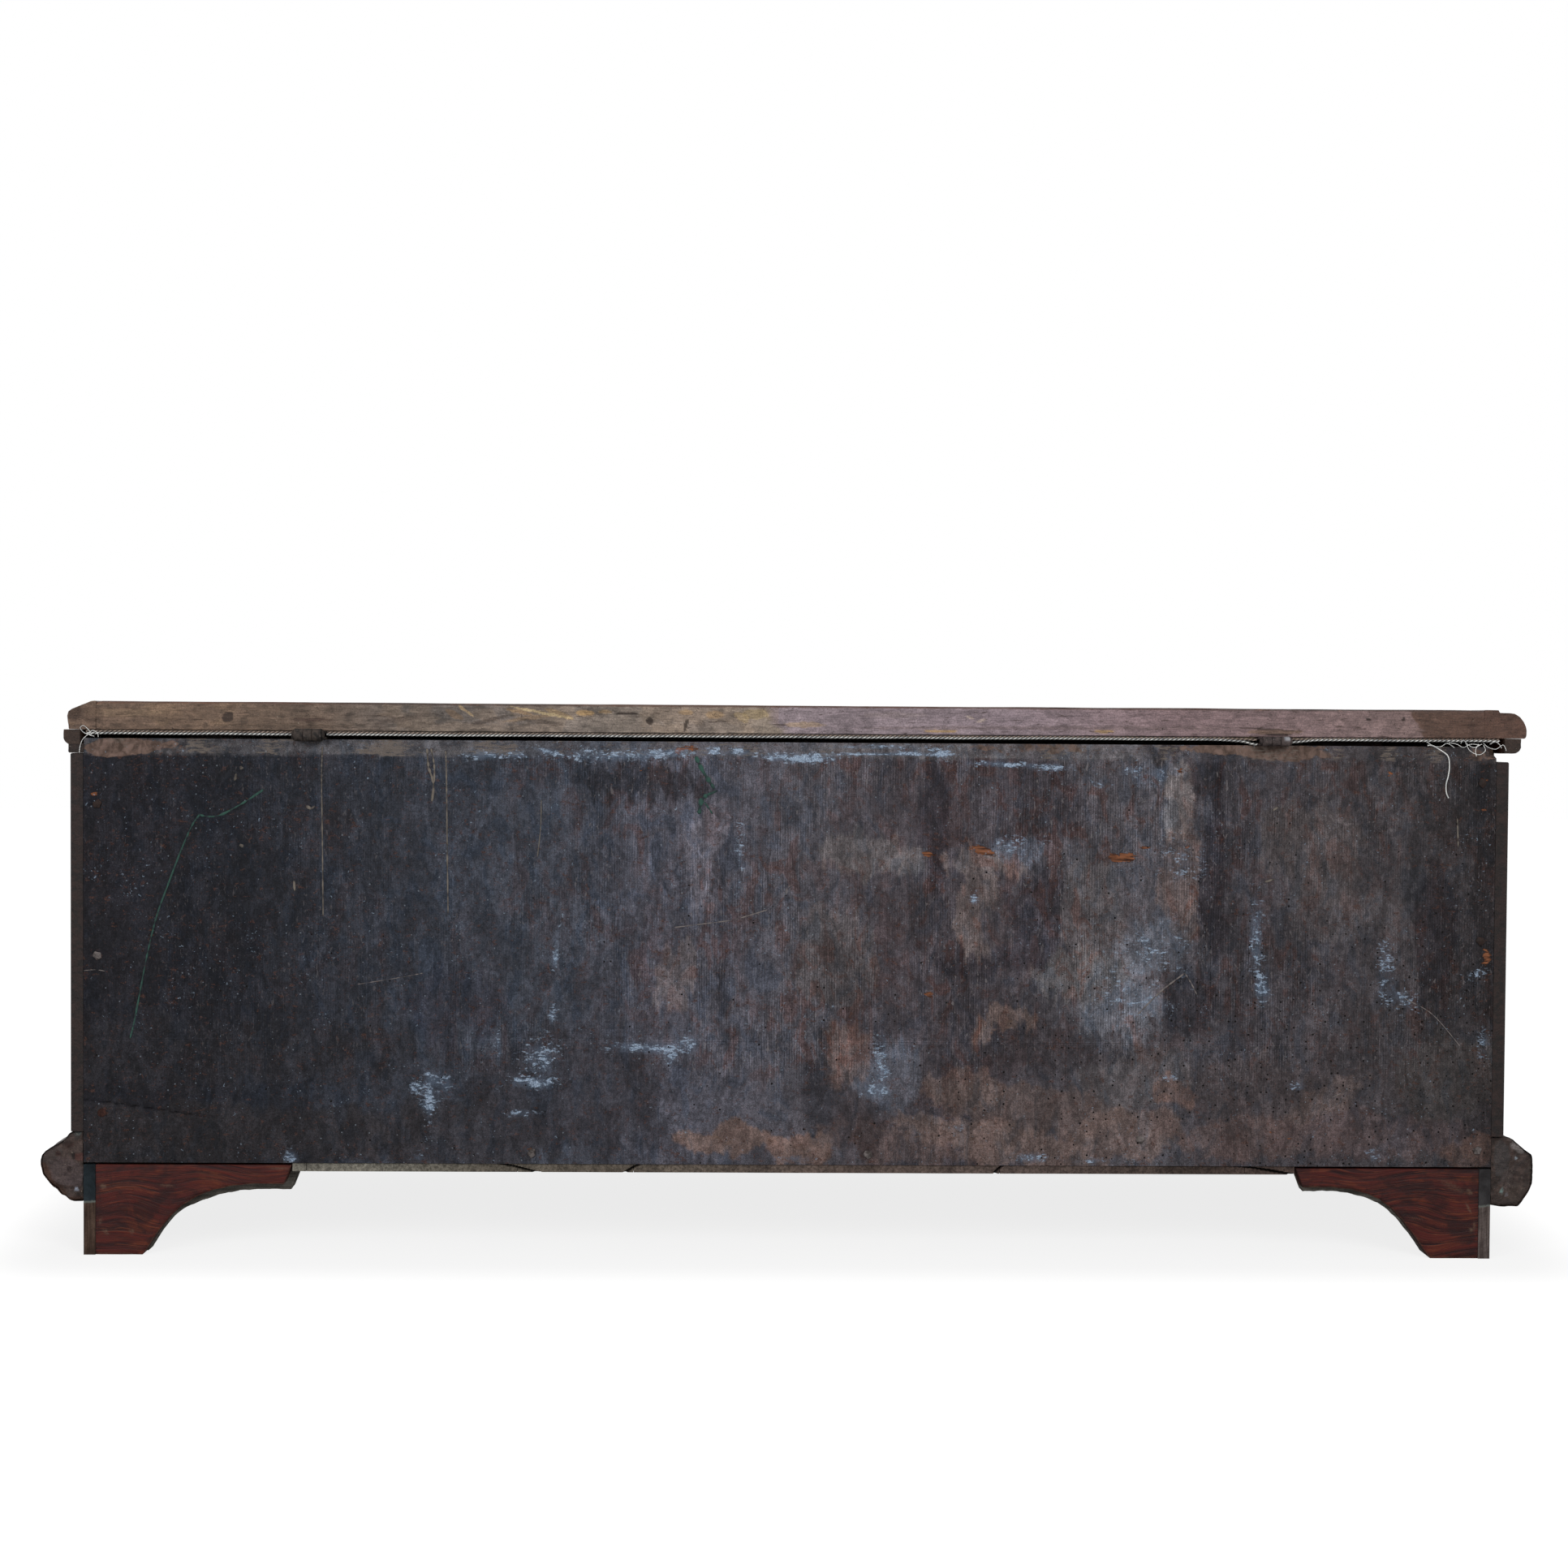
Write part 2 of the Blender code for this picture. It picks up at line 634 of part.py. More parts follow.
def nosing_profile(width):
    """The nosing's section: distance out from its seam, and height above the lid's underside."""
    flat = min(NOSING_FLAT, width / 3)
    shoulder = LID_THICKNESS - NOSING_STEP
    run = width - flat - NOSING_STEP
    points = [(FIT, 0), (width, 0)]
    for step in range(NOSING_ROUND_STEPS + 1):
        angle = math.pi / 2 * step / NOSING_ROUND_STEPS
        points.append((
            width - run + run * math.cos(angle),
            shoulder - NOSING_ROUND_HEIGHT + NOSING_ROUND_HEIGHT * math.sin(angle),
        ))
    points += [(flat, shoulder), (flat, LID_THICKNESS), (FIT, LID_THICKNESS)]
    return [(x, z + LID_UNDERSIDE) for x, z in points]


def lid_pieces():
    half = LID_BOARD_HALF
    made = [box("lid_board", (-half, NOSING_SEAM_Y, LID_UNDERSIDE), (half, BACK_Y, LID_TOP), STAINED_WOOD, BOARD_EASE)]
    front_width = NOSING_SEAM_Y - LID_FRONT_Y
    front = plate(
        "lid_nosing_front", nosing_profile(front_width), LID_BOARD_HALF * 2 - 2 * FIT,
        run_matrix((0, NOSING_SEAM_Y), (0, -1), (1, 0)), STAINED_WOOD,
    )
    right_lean = (LID_RIGHT_END - LID_BOARD_HALF) / front_width
    left_lean = (LID_LEFT_END - LID_BOARD_HALF) / front_width
    for vertex in front.data.vertices:
        lean = right_lean if vertex.co.z > 0 else -left_lean
        vertex.co.z += lean * vertex.co.x
    smooth(front)
    made.append(front)
    depth = BACK_Y - NOSING_SEAM_Y - FIT
    middle = NOSING_SEAM_Y + FIT + depth / 2
    for side, word, end in ((1, "right", LID_RIGHT_END), (-1, "left", LID_LEFT_END)):
        width = end - LID_BOARD_HALF
        profile = [(side * x, z) for x, z in nosing_profile(width)]
        nosing = mitred(
            f"lid_nosing_{word}", profile, depth,
            run_matrix((side * LID_BOARD_HALF, middle), (1, 0), (0, 1)), -side * front_width / width, 0,
            STAINED_WOOD,
        )
        smooth(nosing)
        made.append(nosing)
        outer = STRIP_RIGHT_OUTER if side > 0 else STRIP_LEFT_OUTER
        strip_depth = CHEST_DEPTH - FIT
        made.append(plate(
            f"lid_strip_{word}", strip_profile(side), strip_depth,
            run_matrix((side * outer, FRONT_Y + strip_depth / 2 + FIT), (1, 0), (0, 1)), STAINED_WOOD,
        ))
    length = STRIP_RIGHT_OUTER + STRIP_LEFT_OUTER
    offset = (STRIP_RIGHT_OUTER - STRIP_LEFT_OUTER) / 2
    made.append(plate(
        "lid_strip_front", strip_profile(-1), length,
        run_matrix((offset, FRONT_Y - STRIP_FRONT_GAP - STRIP_WIDTH), (0, 1), (1, 0)), STAINED_WOOD,
    ))
    return made


def strip_profile(side):
    """The strip under the lid's edge, from its outer face inward, chamfered at its lower outer edge."""
    top = LID_UNDERSIDE - FIT
    low = top - STRIP_HEIGHT
    points = [
        (0, top), (0, low + STRIP_CHAMFER), (-STRIP_CHAMFER, low), (-STRIP_WIDTH, low), (-STRIP_WIDTH, top),
    ]
    return [(side * x, z) for x, z in points]


# Hinges

def hinge(side, word):
    """A butt hinge: the lid's leaf has the middle knuckle, the back's leaf the outer two."""
    centre = side * HINGE_CENTRE
    third = HINGE_LENGTH / 3
    turn = ALONG_X
    bore = cylinder(
        f"hinge_{word}_bore", HINGE_PIN_RADIUS + FIT, HINGE_LENGTH + 2 * CUT_OVERRUN, KNUCKLE_SIDES, turn,
        (centre, HINGE_Y, HINGE_Z), cutter=True,
    )
    rear = HINGE_Y - HINGE_RADIUS + HINGE_LEAF_LAP
    front = BACK_Y - HINGE_LEAF_DEPTH
    half = HINGE_LENGTH / 2
    back_front = BACK_INNER_Y + BOARD_EASE
    lid_low = LID_UNDERSIDE - FIT - HINGE_LEAF_THICKNESS
    back_low = BACK_TOP + FIT
    lid_leaf = box(
        f"hinge_{word}_lid_leaf", (centre - half, front, lid_low), (centre + half, rear, lid_low + HINGE_LEAF_THICKNESS),
        IRON,
    )
    back_leaf = box(
        f"hinge_{word}_back_leaf", (centre - half, back_front, back_low),
        (centre + half, rear, back_low + HINGE_LEAF_THICKNESS), IRON,
    )
    middle_length = third - 2 * KNUCKLE_GAP
    knuckle_reach = HINGE_Y + HINGE_RADIUS + CUT_OVERRUN
    for number, offset in enumerate((-third, 0, third)):
        knuckle = cylinder(
            f"hinge_{word}_knuckle_{number}", HINGE_RADIUS, third if number != 1 else middle_length, KNUCKLE_SIDES,
            turn, (centre + offset, HINGE_Y, HINGE_Z), cutter=True,
        )
        leaf = lid_leaf if number == 1 else back_leaf
        other = back_leaf if number == 1 else lid_leaf
        clear = third / 2 + KNUCKLE_GAP if number == 1 else third / 2 + KNUCKLE_GAP / 2
        window = box(
            f"hinge_{word}_window_{number}",
            (centre + offset - clear, BACK_Y, LID_UNDERSIDE - 4 * HINGE_RADIUS),
            (centre + offset + clear, knuckle_reach, LID_UNDERSIDE + 4 * HINGE_RADIUS),
            cutter=True,
        )
        cut(other, window)
        join(leaf, knuckle)
    cut(lid_leaf, bore)
    cut(back_leaf, bore)
    pin = cylinder(
        f"hinge_{word}_pin", HINGE_PIN_RADIUS, HINGE_LENGTH + 2 * FIT, KNUCKLE_SIDES, turn,
        (centre, HINGE_Y, HINGE_Z), IRON,
    )
    for end in (-1, 1):
        head = cylinder(
            f"hinge_{word}_pin_head_{'left' if end < 0 else 'right'}", HINGE_PIN_HEAD, HINGE_PIN_HEAD_THICKNESS,
            KNUCKLE_SIDES, turn,
            (centre + end * (half + FIT + HINGE_PIN_HEAD_THICKNESS / 2 - FIT / 3), HINGE_Y, HINGE_Z), cutter=True,
        )
        join(pin, head)
    return [lid_leaf, back_leaf, pin]


# Lock

def lock_pieces():
    case_low = (-LOCK_LENGTH / 2, FRONT_INNER_Y + FIT, LOCK_TOP - LOCK_HEIGHT)
    case_high = (LOCK_LENGTH / 2, FRONT_INNER_Y + FIT + LOCK_DEPTH, LOCK_TOP)
    case = box("lock_case", case_low, case_high, IRON)
    middle_y = FRONT_INNER_Y + FIT + LOCK_DEPTH / 2
    bolt_z = LOCK_TOP - BOLT_DROP
    slot_x = STAPLE_THICKNESS / 2 + LOCK_SLOT_CLEARANCE
    slot_y = STAPLE_WIDTH / 2 + LOCK_SLOT_CLEARANCE
    slot = box(
        "lock_slot",
        (-slot_x, middle_y - slot_y, bolt_z - STAPLE_EYE_HEIGHT / 2 - STAPLE_EYE_FLOOR - LOCK_SLOT_CLEARANCE),
        (slot_x, middle_y + slot_y, LOCK_TOP + CUT_OVERRUN),
        cutter=True,
    )
    cut(case, slot)
    channel = BOLT_SIDE / 2 + BOLT_CLEARANCE
    channel_cut = box(
        "lock_channel",
        (-LOCK_LENGTH / 2 - CUT_OVERRUN, middle_y - channel, bolt_z - channel),
        (LOCK_LENGTH / 2 + CUT_OVERRUN, middle_y + channel, bolt_z + channel),
        cutter=True,
    )
    cut(case, channel_cut)
    for hole in keyhole_cutters("lock_keyhole"):
        cut(case, hole)
    bolt_right = -STAPLE_THICKNESS / 2 - BOLT_REST_GAP
    bolt = box(
        "lock_bolt",
        (bolt_right - BOLT_LENGTH, middle_y - BOLT_SIDE / 2, bolt_z - BOLT_SIDE / 2),
        (bolt_right, middle_y + BOLT_SIDE / 2, bolt_z + BOLT_SIDE / 2),
        IRON,
    )
    top = LID_UNDERSIDE - FIT
    staple = box(
        "lock_staple",
        (-STAPLE_PLATE_LENGTH / 2, middle_y - STAPLE_PLATE_DEPTH / 2, top - STAPLE_PLATE_THICKNESS),
        (STAPLE_PLATE_LENGTH / 2, middle_y + STAPLE_PLATE_DEPTH / 2, top),
        IRON,
    )
    low = bolt_z - STAPLE_EYE_HEIGHT / 2 - STAPLE_EYE_FLOOR
    tongue = box(
        "staple_tongue",
        (-STAPLE_THICKNESS / 2, middle_y - STAPLE_WIDTH / 2, low),
        (STAPLE_THICKNESS / 2, middle_y + STAPLE_WIDTH / 2, top - STAPLE_PLATE_THICKNESS / 2),
        cutter=True,
    )
    join(staple, tongue)
    eye = box(
        "staple_eye",
        (-STAPLE_THICKNESS, middle_y - STAPLE_EYE_WIDTH / 2, bolt_z - STAPLE_EYE_HEIGHT / 2),
        (STAPLE_THICKNESS, middle_y + STAPLE_EYE_WIDTH / 2, bolt_z + STAPLE_EYE_HEIGHT / 2),
        cutter=True,
    )
    cut(staple, eye)
    plate_low = (-ESCUTCHEON_LENGTH / 2, FRONT_Y - FIT - ESCUTCHEON_THICKNESS, keyhole_height() - ESCUTCHEON_HEIGHT / 2)
    plate_high = (ESCUTCHEON_LENGTH / 2, FRONT_Y - FIT, keyhole_height() + ESCUTCHEON_HEIGHT / 2)
    escutcheon = box("lock_escutcheon", plate_low, plate_high, IRON)
    for hole in keyhole_cutters("escutcheon_keyhole"):
        cut(escutcheon, hole)
    return case, bolt, staple, escutcheon


def keyhole_height():
    return LOCK_TOP - LOCK_HEIGHT / 2


def keyhole_cutters(name):
    """A round eye with a slot below it, cut from front to back through whatever holds it."""
    depth = FRONT_THICKNESS + LOCK_DEPTH + 4 * CUT_OVERRUN
    middle = FRONT_Y + depth / 2 - 2 * CUT_OVERRUN
    height = keyhole_height()
    eye = cylinder(name + "_eye", KEYHOLE_RADIUS, depth, KEYHOLE_SIDES, ALONG_Y, (0, middle, height), cutter=True)
    slot = box(
        name + "_slot",
        (-KEYHOLE_SLOT_WIDTH / 2, middle - depth / 2, height - KEYHOLE_SLOT_HEIGHT),
        (KEYHOLE_SLOT_WIDTH / 2, middle + depth / 2, height),
        cutter=True,
    )
    return eye, slot


# Nails and pegs

OUTWARD = Matrix.Rotation(-math.pi / 2, 4, "X")


def nail(name, place, length):
    """A forged nail: a low crowned head on the back's face, with its shank in the wood."""
    shape = bmesh.new()
    head = bmesh.ops.create_cone(
        shape, cap_ends=True, segments=NAIL_SIDES, radius1=NAIL_HEAD_RADIUS,
        radius2=NAIL_HEAD_RADIUS * NAIL_HEAD_CROWN_SHARE, depth=NAIL_HEAD_HEIGHT,
    )
    bmesh.ops.translate(shape, vec=(0, 0, NAIL_HEAD_HEIGHT / 2 + FIT), verts=head["verts"])
    shape.faces.ensure_lookup_table()
    under = [face for face in shape.faces if face.calc_center_median().z < 2 * FIT]
    bmesh.ops.inset_region(
        shape, faces=under, thickness=NAIL_HEAD_RADIUS - NAIL_RADIUS, use_even_offset=False,
    )
    shank = bmesh.ops.extrude_discrete_faces(shape, faces=under)["faces"]
    bmesh.ops.translate(shape, vec=(0, 0, -length), verts=list({v for face in shank for v in face.verts}))
    mesh = bpy.data.meshes.new(name)
    shape.to_mesh(mesh)
    shape.free()
    made = add_object(name, mesh, IRON)
    made.matrix_world = Matrix.Translation(place) @ OUTWARD
    return made


def nail_holes(name, nails):
    """One cutter with a hole for each nail, deeper than its shank."""
    shape = bmesh.new()
    for place, length in nails:
        depth = length + 2 * CUT_OVERRUN
        made = bmesh.ops.create_cone(
            shape, cap_ends=True, segments=NAIL_SIDES, radius1=NAIL_RADIUS + FIT, radius2=NAIL_RADIUS + FIT,
            depth=depth,
        )
        bmesh.ops.translate(shape, vec=(0, 0, CUT_OVERRUN - depth / 2), verts=made["verts"])
        bmesh.ops.transform(shape, matrix=Matrix.Translation(place) @ OUTWARD, verts=made["verts"])
    mesh = bpy.data.meshes.new(name)
    shape.to_mesh(mesh)
    shape.free()
    return add_object(name, mesh, None, cutter=True)


def back_height(share):
    return BACK_BOTTOM + share * (BACK_TOP - BACK_BOTTOM)


def back_nail_places():
    """Each nail's place on the back's face and its length."""
    left = [(-CHEST_HALF + NAIL_END_INSET, BACK_Y, back_height(share)) for share in NAIL_LEFT_SHARES]
    right = [(CHEST_HALF - NAIL_END_INSET, BACK_Y, back_height(share)) for share in NAIL_RIGHT_SHARES]
    bottom = [(x * CHEST_HALF, BACK_Y, back_height(z)) for x, z in NAIL_BOTTOM_SHARES]
    stray = (NAIL_STRAY_SHARES[0] * CHEST_HALF, BACK_Y, back_height(NAIL_STRAY_SHARES[1]))
    return [(place, NAIL_LENGTH) for place in left + right + bottom] + [(stray, NAIL_SHORT_LENGTH)]


def fastenings(planks, ends, bottoms):
    """Nails and the peg through the back, with the holes that they stand in."""
    places = back_nail_places()
    nails = [nail(f"back_nail_{number + 1}", place, length) for number, (place, length) in enumerate(places)]
    holes = nail_holes("back_nail_holes", places)
    for piece in planks + ends + bottoms:
        cut(piece, holes)
    peg_place = (CHEST_HALF - PEG_END_INSET, BACK_Y + PEG_PROUD - PEG_LENGTH / 2, back_height(PEG_HEIGHT_SHARE))
    peg = cylinder("back_peg", PEG_RADIUS, PEG_LENGTH, KNUCKLE_SIDES, ALONG_Y, peg_place, RAW_WOOD)
    peg_hole = cylinder(
        "back_peg_hole", PEG_RADIUS + FIT, PEG_LENGTH + 2 * FIT, KNUCKLE_SIDES, ALONG_Y, peg_place, cutter=True,
    )
    cut(planks[0], peg_hole)
    cut(ends[0], peg_hole)
    return nails + [peg]


# Lining, braid and thread

def hinge_spans():
    half = HINGE_LENGTH / 2 + HINGE_PIN_HEAD_THICKNESS + BRAID_END_CLEARANCE
    return [(side * HINGE_CENTRE - half, side * HINGE_CENTRE + half) for side in (-1, 1)]


def lid_lining():
    half = INNER_HALF - LINING_MARGIN
    top = LID_UNDERSIDE - FIT
    made = box(
        "lid_lining", (-half, FRONT_INNER_Y + LINING_MARGIN, top - LINING_THICKNESS),
        (half, BACK_Y - BRAID_THICKNESS - FIT, top), LINEN,
    )
    for number, (low, high) in enumerate(hinge_spans()):
        notch = box(
            f"lining_hinge_notch_{number}",
            (low, BACK_Y - HINGE_LEAF_DEPTH - LINING_CLEARANCE, top - CUT_OVERRUN),
            (high, BACK_Y + CUT_OVERRUN, top + CUT_OVERRUN),
            cutter=True,
        )
        cut(made, notch)
    half_plate = STAPLE_PLATE_LENGTH / 2 + LINING_CLEARANCE
    reach = FRONT_INNER_Y + FIT + LOCK_DEPTH / 2 + STAPLE_PLATE_DEPTH / 2 + LINING_CLEARANCE
    notch = box(
        "lining_staple_notch",
        (-half_plate, FRONT_INNER_Y, top - CUT_OVERRUN), (half_plate, reach, top + CUT_OVERRUN), cutter=True,
    )
    cut(made, notch)
    return made


def lid_braids():
    """The braid along the lid's lower rear edge, in three lengths between and beside the hinges."""
    spans = hinge_spans()
    top = LID_UNDERSIDE - BRAID_DROP
    lengths = (
        ("lid_braid_left", -BRAID_LEFT_END, spans[0][0]),
        ("lid_braid_middle", spans[0][1], spans[1][0]),
        ("lid_braid_right", spans[1][1], BRAID_RIGHT_END),
    )
    return [
        box(name, (low, BACK_Y - BRAID_THICKNESS, top - BRAID_HEIGHT), (high, BACK_Y, top), BRAID, BOARD_EASE)
        for name, low, high in lengths
    ]


def smooth_route(points, count):
    """Evenly shared points on a Catmull-Rom curve through the route's own points."""
    padded = [points[0]] + list(points) + [points[-1]]
    made = []
    spans = len(points) - 1
    for step in range(count):
        place = step / (count - 1) * spans
        first = min(int(place), spans - 1)
        t = place - first
        a, b, c, d = (Vector(padded[first + i]) for i in range(4))
        made.append(0.5 * (2 * b + (c - a) * t + (2 * a - 5 * b + 4 * c - d) * t ** 2 + (3 * b - a - 3 * c + d) * t ** 3))
    return made


def loose_thread():
    """One frayed thread that hangs down over the back from the braid's lower edge."""
    curve = bpy.data.curves.new("loose_thread", "CURVE")
    curve.dimensions = "3D"
    curve.bevel_depth = THREAD_DIAMETER / 2
    curve.bevel_resolution = THREAD_BEVEL_RESOLUTION
    curve.use_fill_caps = True
    spline = curve.splines.new("POLY")
    route = [Vector((x, BACK_Y + y, z)) for x, y, z in THREAD_ROUTE]
    spline.points.add(THREAD_POINTS - 1)
    for point, place in zip(spline.points, smooth_route(route, THREAD_POINTS)):
        point.co = (*place, 1)
    made = bpy.data.objects.new("loose_thread", curve)
    curve.materials.append(BRAID)
    PARTS.objects.link(made)
    return made


# Assembly

def hang_on(parent, pieces):
    for piece in pieces:
        piece.parent = parent
        piece.matrix_parent_inverse = Matrix.Translation(-Vector(parent.location))


def build():
    ends = [end_board("end_board_right", 1), end_board("end_board_left", -1)]
    front = front_board()
    planks = [
        back_plank("back_plank_lower", BACK_BOTTOM, BACK_JOINT - FIT / 2),
        back_plank("back_plank_upper", BACK_JOINT + FIT / 2, BACK_TOP),
    ]
    bottoms = bottom_boards()
    mouldings = base_mouldings()
    brackets = feet()
    lid = lid_pieces()
    hinges = hinge(1, "right") + hinge(-1, "left")
    case, bolt, staple, escutcheon = lock_pieces()
    fixed = fastenings(planks, ends, bottoms)
    lining = lid_lining()
    braids = lid_braids()
    thread = loose_thread()
    chest = bpy.data.objects.new("chest", None)
    PARTS.objects.link(chest)
    lid_axis = bpy.data.objects.new("lid_axis", None)
    lid_axis.location = (0, HINGE_Y, HINGE_Z)
    PARTS.objects.link(lid_axis)
    lid_axis.parent = chest
    on_lid = [piece for piece in hinges if piece.name.endswith("lid_leaf")]
    hang_on(lid_axis, lid + on_lid + [staple, lining] + braids)
    on_chest = [piece for piece in hinges if piece not in on_lid]
    hang_on(chest, ends + [front] + planks + bottoms + list(mouldings) + brackets + on_chest)
    hang_on(chest, [case, bolt, escutcheon, thread] + fixed)


build()
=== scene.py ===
"""A cassapanca, the long chest-bench with a hinged lid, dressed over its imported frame.

Its nailed plank back faces +Y and its front faces -Y. Left and right are said as seen from the front, so right
is +X. Lengths are in metres, and those whose names end in MM are in millimetres. A mark's place on the back is
written as (across, down), counted on the 1932-pixel square that the stage's camera sees.
"""

import math
from functools import partial

import bpy
import numpy as np
from bpy.props import FloatProperty, FloatVectorProperty, IntProperty, PointerProperty
from bpy.types import Operator, Panel, PropertyGroup
from mathutils import Matrix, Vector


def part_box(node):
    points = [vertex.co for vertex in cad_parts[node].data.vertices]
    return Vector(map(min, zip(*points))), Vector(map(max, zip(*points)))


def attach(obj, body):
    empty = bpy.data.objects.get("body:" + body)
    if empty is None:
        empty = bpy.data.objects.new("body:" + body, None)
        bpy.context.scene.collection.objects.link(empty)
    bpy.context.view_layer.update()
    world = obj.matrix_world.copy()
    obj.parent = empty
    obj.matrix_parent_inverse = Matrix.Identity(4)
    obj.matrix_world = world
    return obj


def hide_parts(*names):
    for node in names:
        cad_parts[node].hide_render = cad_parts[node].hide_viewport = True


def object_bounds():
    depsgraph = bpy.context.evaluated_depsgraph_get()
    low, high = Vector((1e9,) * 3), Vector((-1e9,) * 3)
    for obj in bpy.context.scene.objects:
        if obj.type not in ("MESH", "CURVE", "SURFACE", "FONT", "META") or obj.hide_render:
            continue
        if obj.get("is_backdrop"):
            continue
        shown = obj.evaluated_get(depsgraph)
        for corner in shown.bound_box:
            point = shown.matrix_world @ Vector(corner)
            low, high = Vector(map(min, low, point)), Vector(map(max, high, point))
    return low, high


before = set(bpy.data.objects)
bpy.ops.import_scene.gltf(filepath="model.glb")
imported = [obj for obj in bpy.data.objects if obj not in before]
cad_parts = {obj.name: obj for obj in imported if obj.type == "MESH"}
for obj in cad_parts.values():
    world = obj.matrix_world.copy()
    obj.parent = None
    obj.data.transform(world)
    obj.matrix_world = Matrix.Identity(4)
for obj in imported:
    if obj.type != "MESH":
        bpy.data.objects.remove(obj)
CAD_BOUNDS = [list(corner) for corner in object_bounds()]

bl_info = {
    "name": "Cassapanca",
    "version": (1, 0, 0),
    "blender": (4, 5, 0),
    "location": "3D View > Sidebar > Cassapanca",
    "description": "Builds the pieces, finishes and stage of an old chest-bench over its frame",
    "category": "Add Mesh",
}

CHEST = "chest"
LID = "lid"
BACK_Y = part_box("back_plank_upper")[1][1]
BACK_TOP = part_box("back_plank_upper")[1][2]
PLANK_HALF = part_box("back_plank_upper")[1][0]
LID_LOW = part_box("lid_board")[0][2]
LID_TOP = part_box("lid_board")[1][2]
VIEW_PIXELS = 1932


def linear(hex_colour):
    """An sRGB colour of six hex digits as linear red, green and blue."""
    values = np.array([int(hex_colour[i:i + 2], 16) / 255 for i in (0, 2, 4)])
    return np.where(values <= 0.04045, values / 12.92, ((values + 0.055) / 1.055) ** 2.4)


def opaque(colour):
    """A colour, as hex digits or linear red, green and blue, with an alpha of 1."""
    return (*(linear(colour) if isinstance(colour, str) else colour), 1.0)


# The camera's view, which also places the marks on the back

CAMERA_PLACE = np.array((0.0556, 2.96975, 0.62))
CAMERA_LENS_MM = 53.61
CAMERA_SENSOR_MM = 36.0
CAMERA_FOCAL = 2877.3
CAMERA_TURN = (math.radians(0.953), math.radians(1.486), math.radians(-0.383))


def camera_axes():
    """The view's right, up and forward directions: the camera looks along -Y, then yaws, pitches and rolls."""
    yaw, pitch, roll = CAMERA_TURN
    right, forward, up = np.array((-1.0, 0, 0)), np.array((0, -1.0, 0)), np.array((0, 0, 1.0))
    turned = right * math.cos(yaw) - forward * math.sin(yaw)
    ahead = right * math.sin(yaw) + forward * math.cos(yaw)
    raised = up * math.cos(pitch) + ahead * math.sin(pitch)
    ahead = ahead * math.cos(pitch) - up * math.sin(pitch)
    return (
        turned * math.cos(roll) - raised * math.sin(roll),
        turned * math.sin(roll) + raised * math.cos(roll),
        ahead,
    )


def seen_at(x, y, z):
    """Where the camera sees points: their distance along the view's right and up axes over that ahead."""
    away = np.stack(np.broadcast_arrays(x, y, z), -1) - CAMERA_PLACE
    right, up, ahead = (away @ axis for axis in camera_axes())
    middle = VIEW_PIXELS / 2
    return middle + CAMERA_FOCAL * right / ahead, middle - CAMERA_FOCAL * up / ahead


def on_back(across, down, y=BACK_Y):
    """The x and z at which the camera's line through (across, down) meets the upright plane at y."""
    right, up, ahead = camera_axes()
    middle = VIEW_PIXELS / 2
    shift = np.asarray(across, float)[..., None] - middle
    rise = middle - np.asarray(down, float)[..., None]
    ray = right * shift / CAMERA_FOCAL + up * rise / CAMERA_FOCAL + ahead
    met = CAMERA_PLACE + ray * ((y - CAMERA_PLACE[1]) / ray[..., 1:2])
    return met[..., 0], met[..., 2]


# Shapes

def eased(value, low, high):
    """0 below low, 1 above high and a smooth cubic step between them."""
    share = np.clip((np.asarray(value, float) - low) / (high - low), 0, 1)
    return share * share * (3 - 2 * share)


def lattice(u, v, cell, seed):
    """Smooth value noise from 0 to 1: random heights on a lattice of that cell, blended by a cubic step."""
    heights = np.random.default_rng(seed).random((128, 128))
    a, b = np.asarray(u, float) / cell, np.asarray(v, float) / cell
    left, low = np.floor(a).astype(int), np.floor(b).astype(int)
    s, t = a - left, b - low
    s, t = s * s * (3 - 2 * s), t * t * (3 - 2 * t)
    corner = lambda i, j: heights[(left + i) % 128, (low + j) % 128]
    near = corner(0, 0) * (1 - s) + corner(1, 0) * s
    far = corner(0, 1) * (1 - s) + corner(1, 1) * s
    return near * (1 - t) + far * t


def rough(u, v, cell, seed, octaves=3):
    """Lattice noise summed over octaves, each half as wide and half as strong, from -1 to 1."""
    total, weight = 0, 0
    for octave in range(octaves):
        share = 0.5 ** octave
        total = total + share * (2 * lattice(u, v, cell * share, seed + octave) - 1)
        weight += share
    return total / weight


def outline(corners, counts):
    """Points round a closed outline: each straight side between two corners is shared evenly by its count."""
    corners = np.array(corners, float)
    sides = []
    for start, end, count in zip(corners, np.roll(corners, -1, 0), counts):
        share = np.arange(count)[:, None] / count
        sides.append(start + (end - start) * share)
    return np.concatenate(sides)


def evenly(corners, count, closed=True):
    """Points at even lengths along an outline or an open line through the corners."""
    corners = np.array(corners, float)
    if closed:
        corners = np.concatenate((corners, corners[:1]))
    steps = np.linalg.norm(np.diff(corners, axis=0), axis=1)
    length = np.concatenate(((0,), np.cumsum(steps)))
    places = np.linspace(0, length[-1], count, endpoint=not closed)
    return np.stack([np.interp(places, length, corners[:, k]) for k in range(corners.shape[1])], -1)


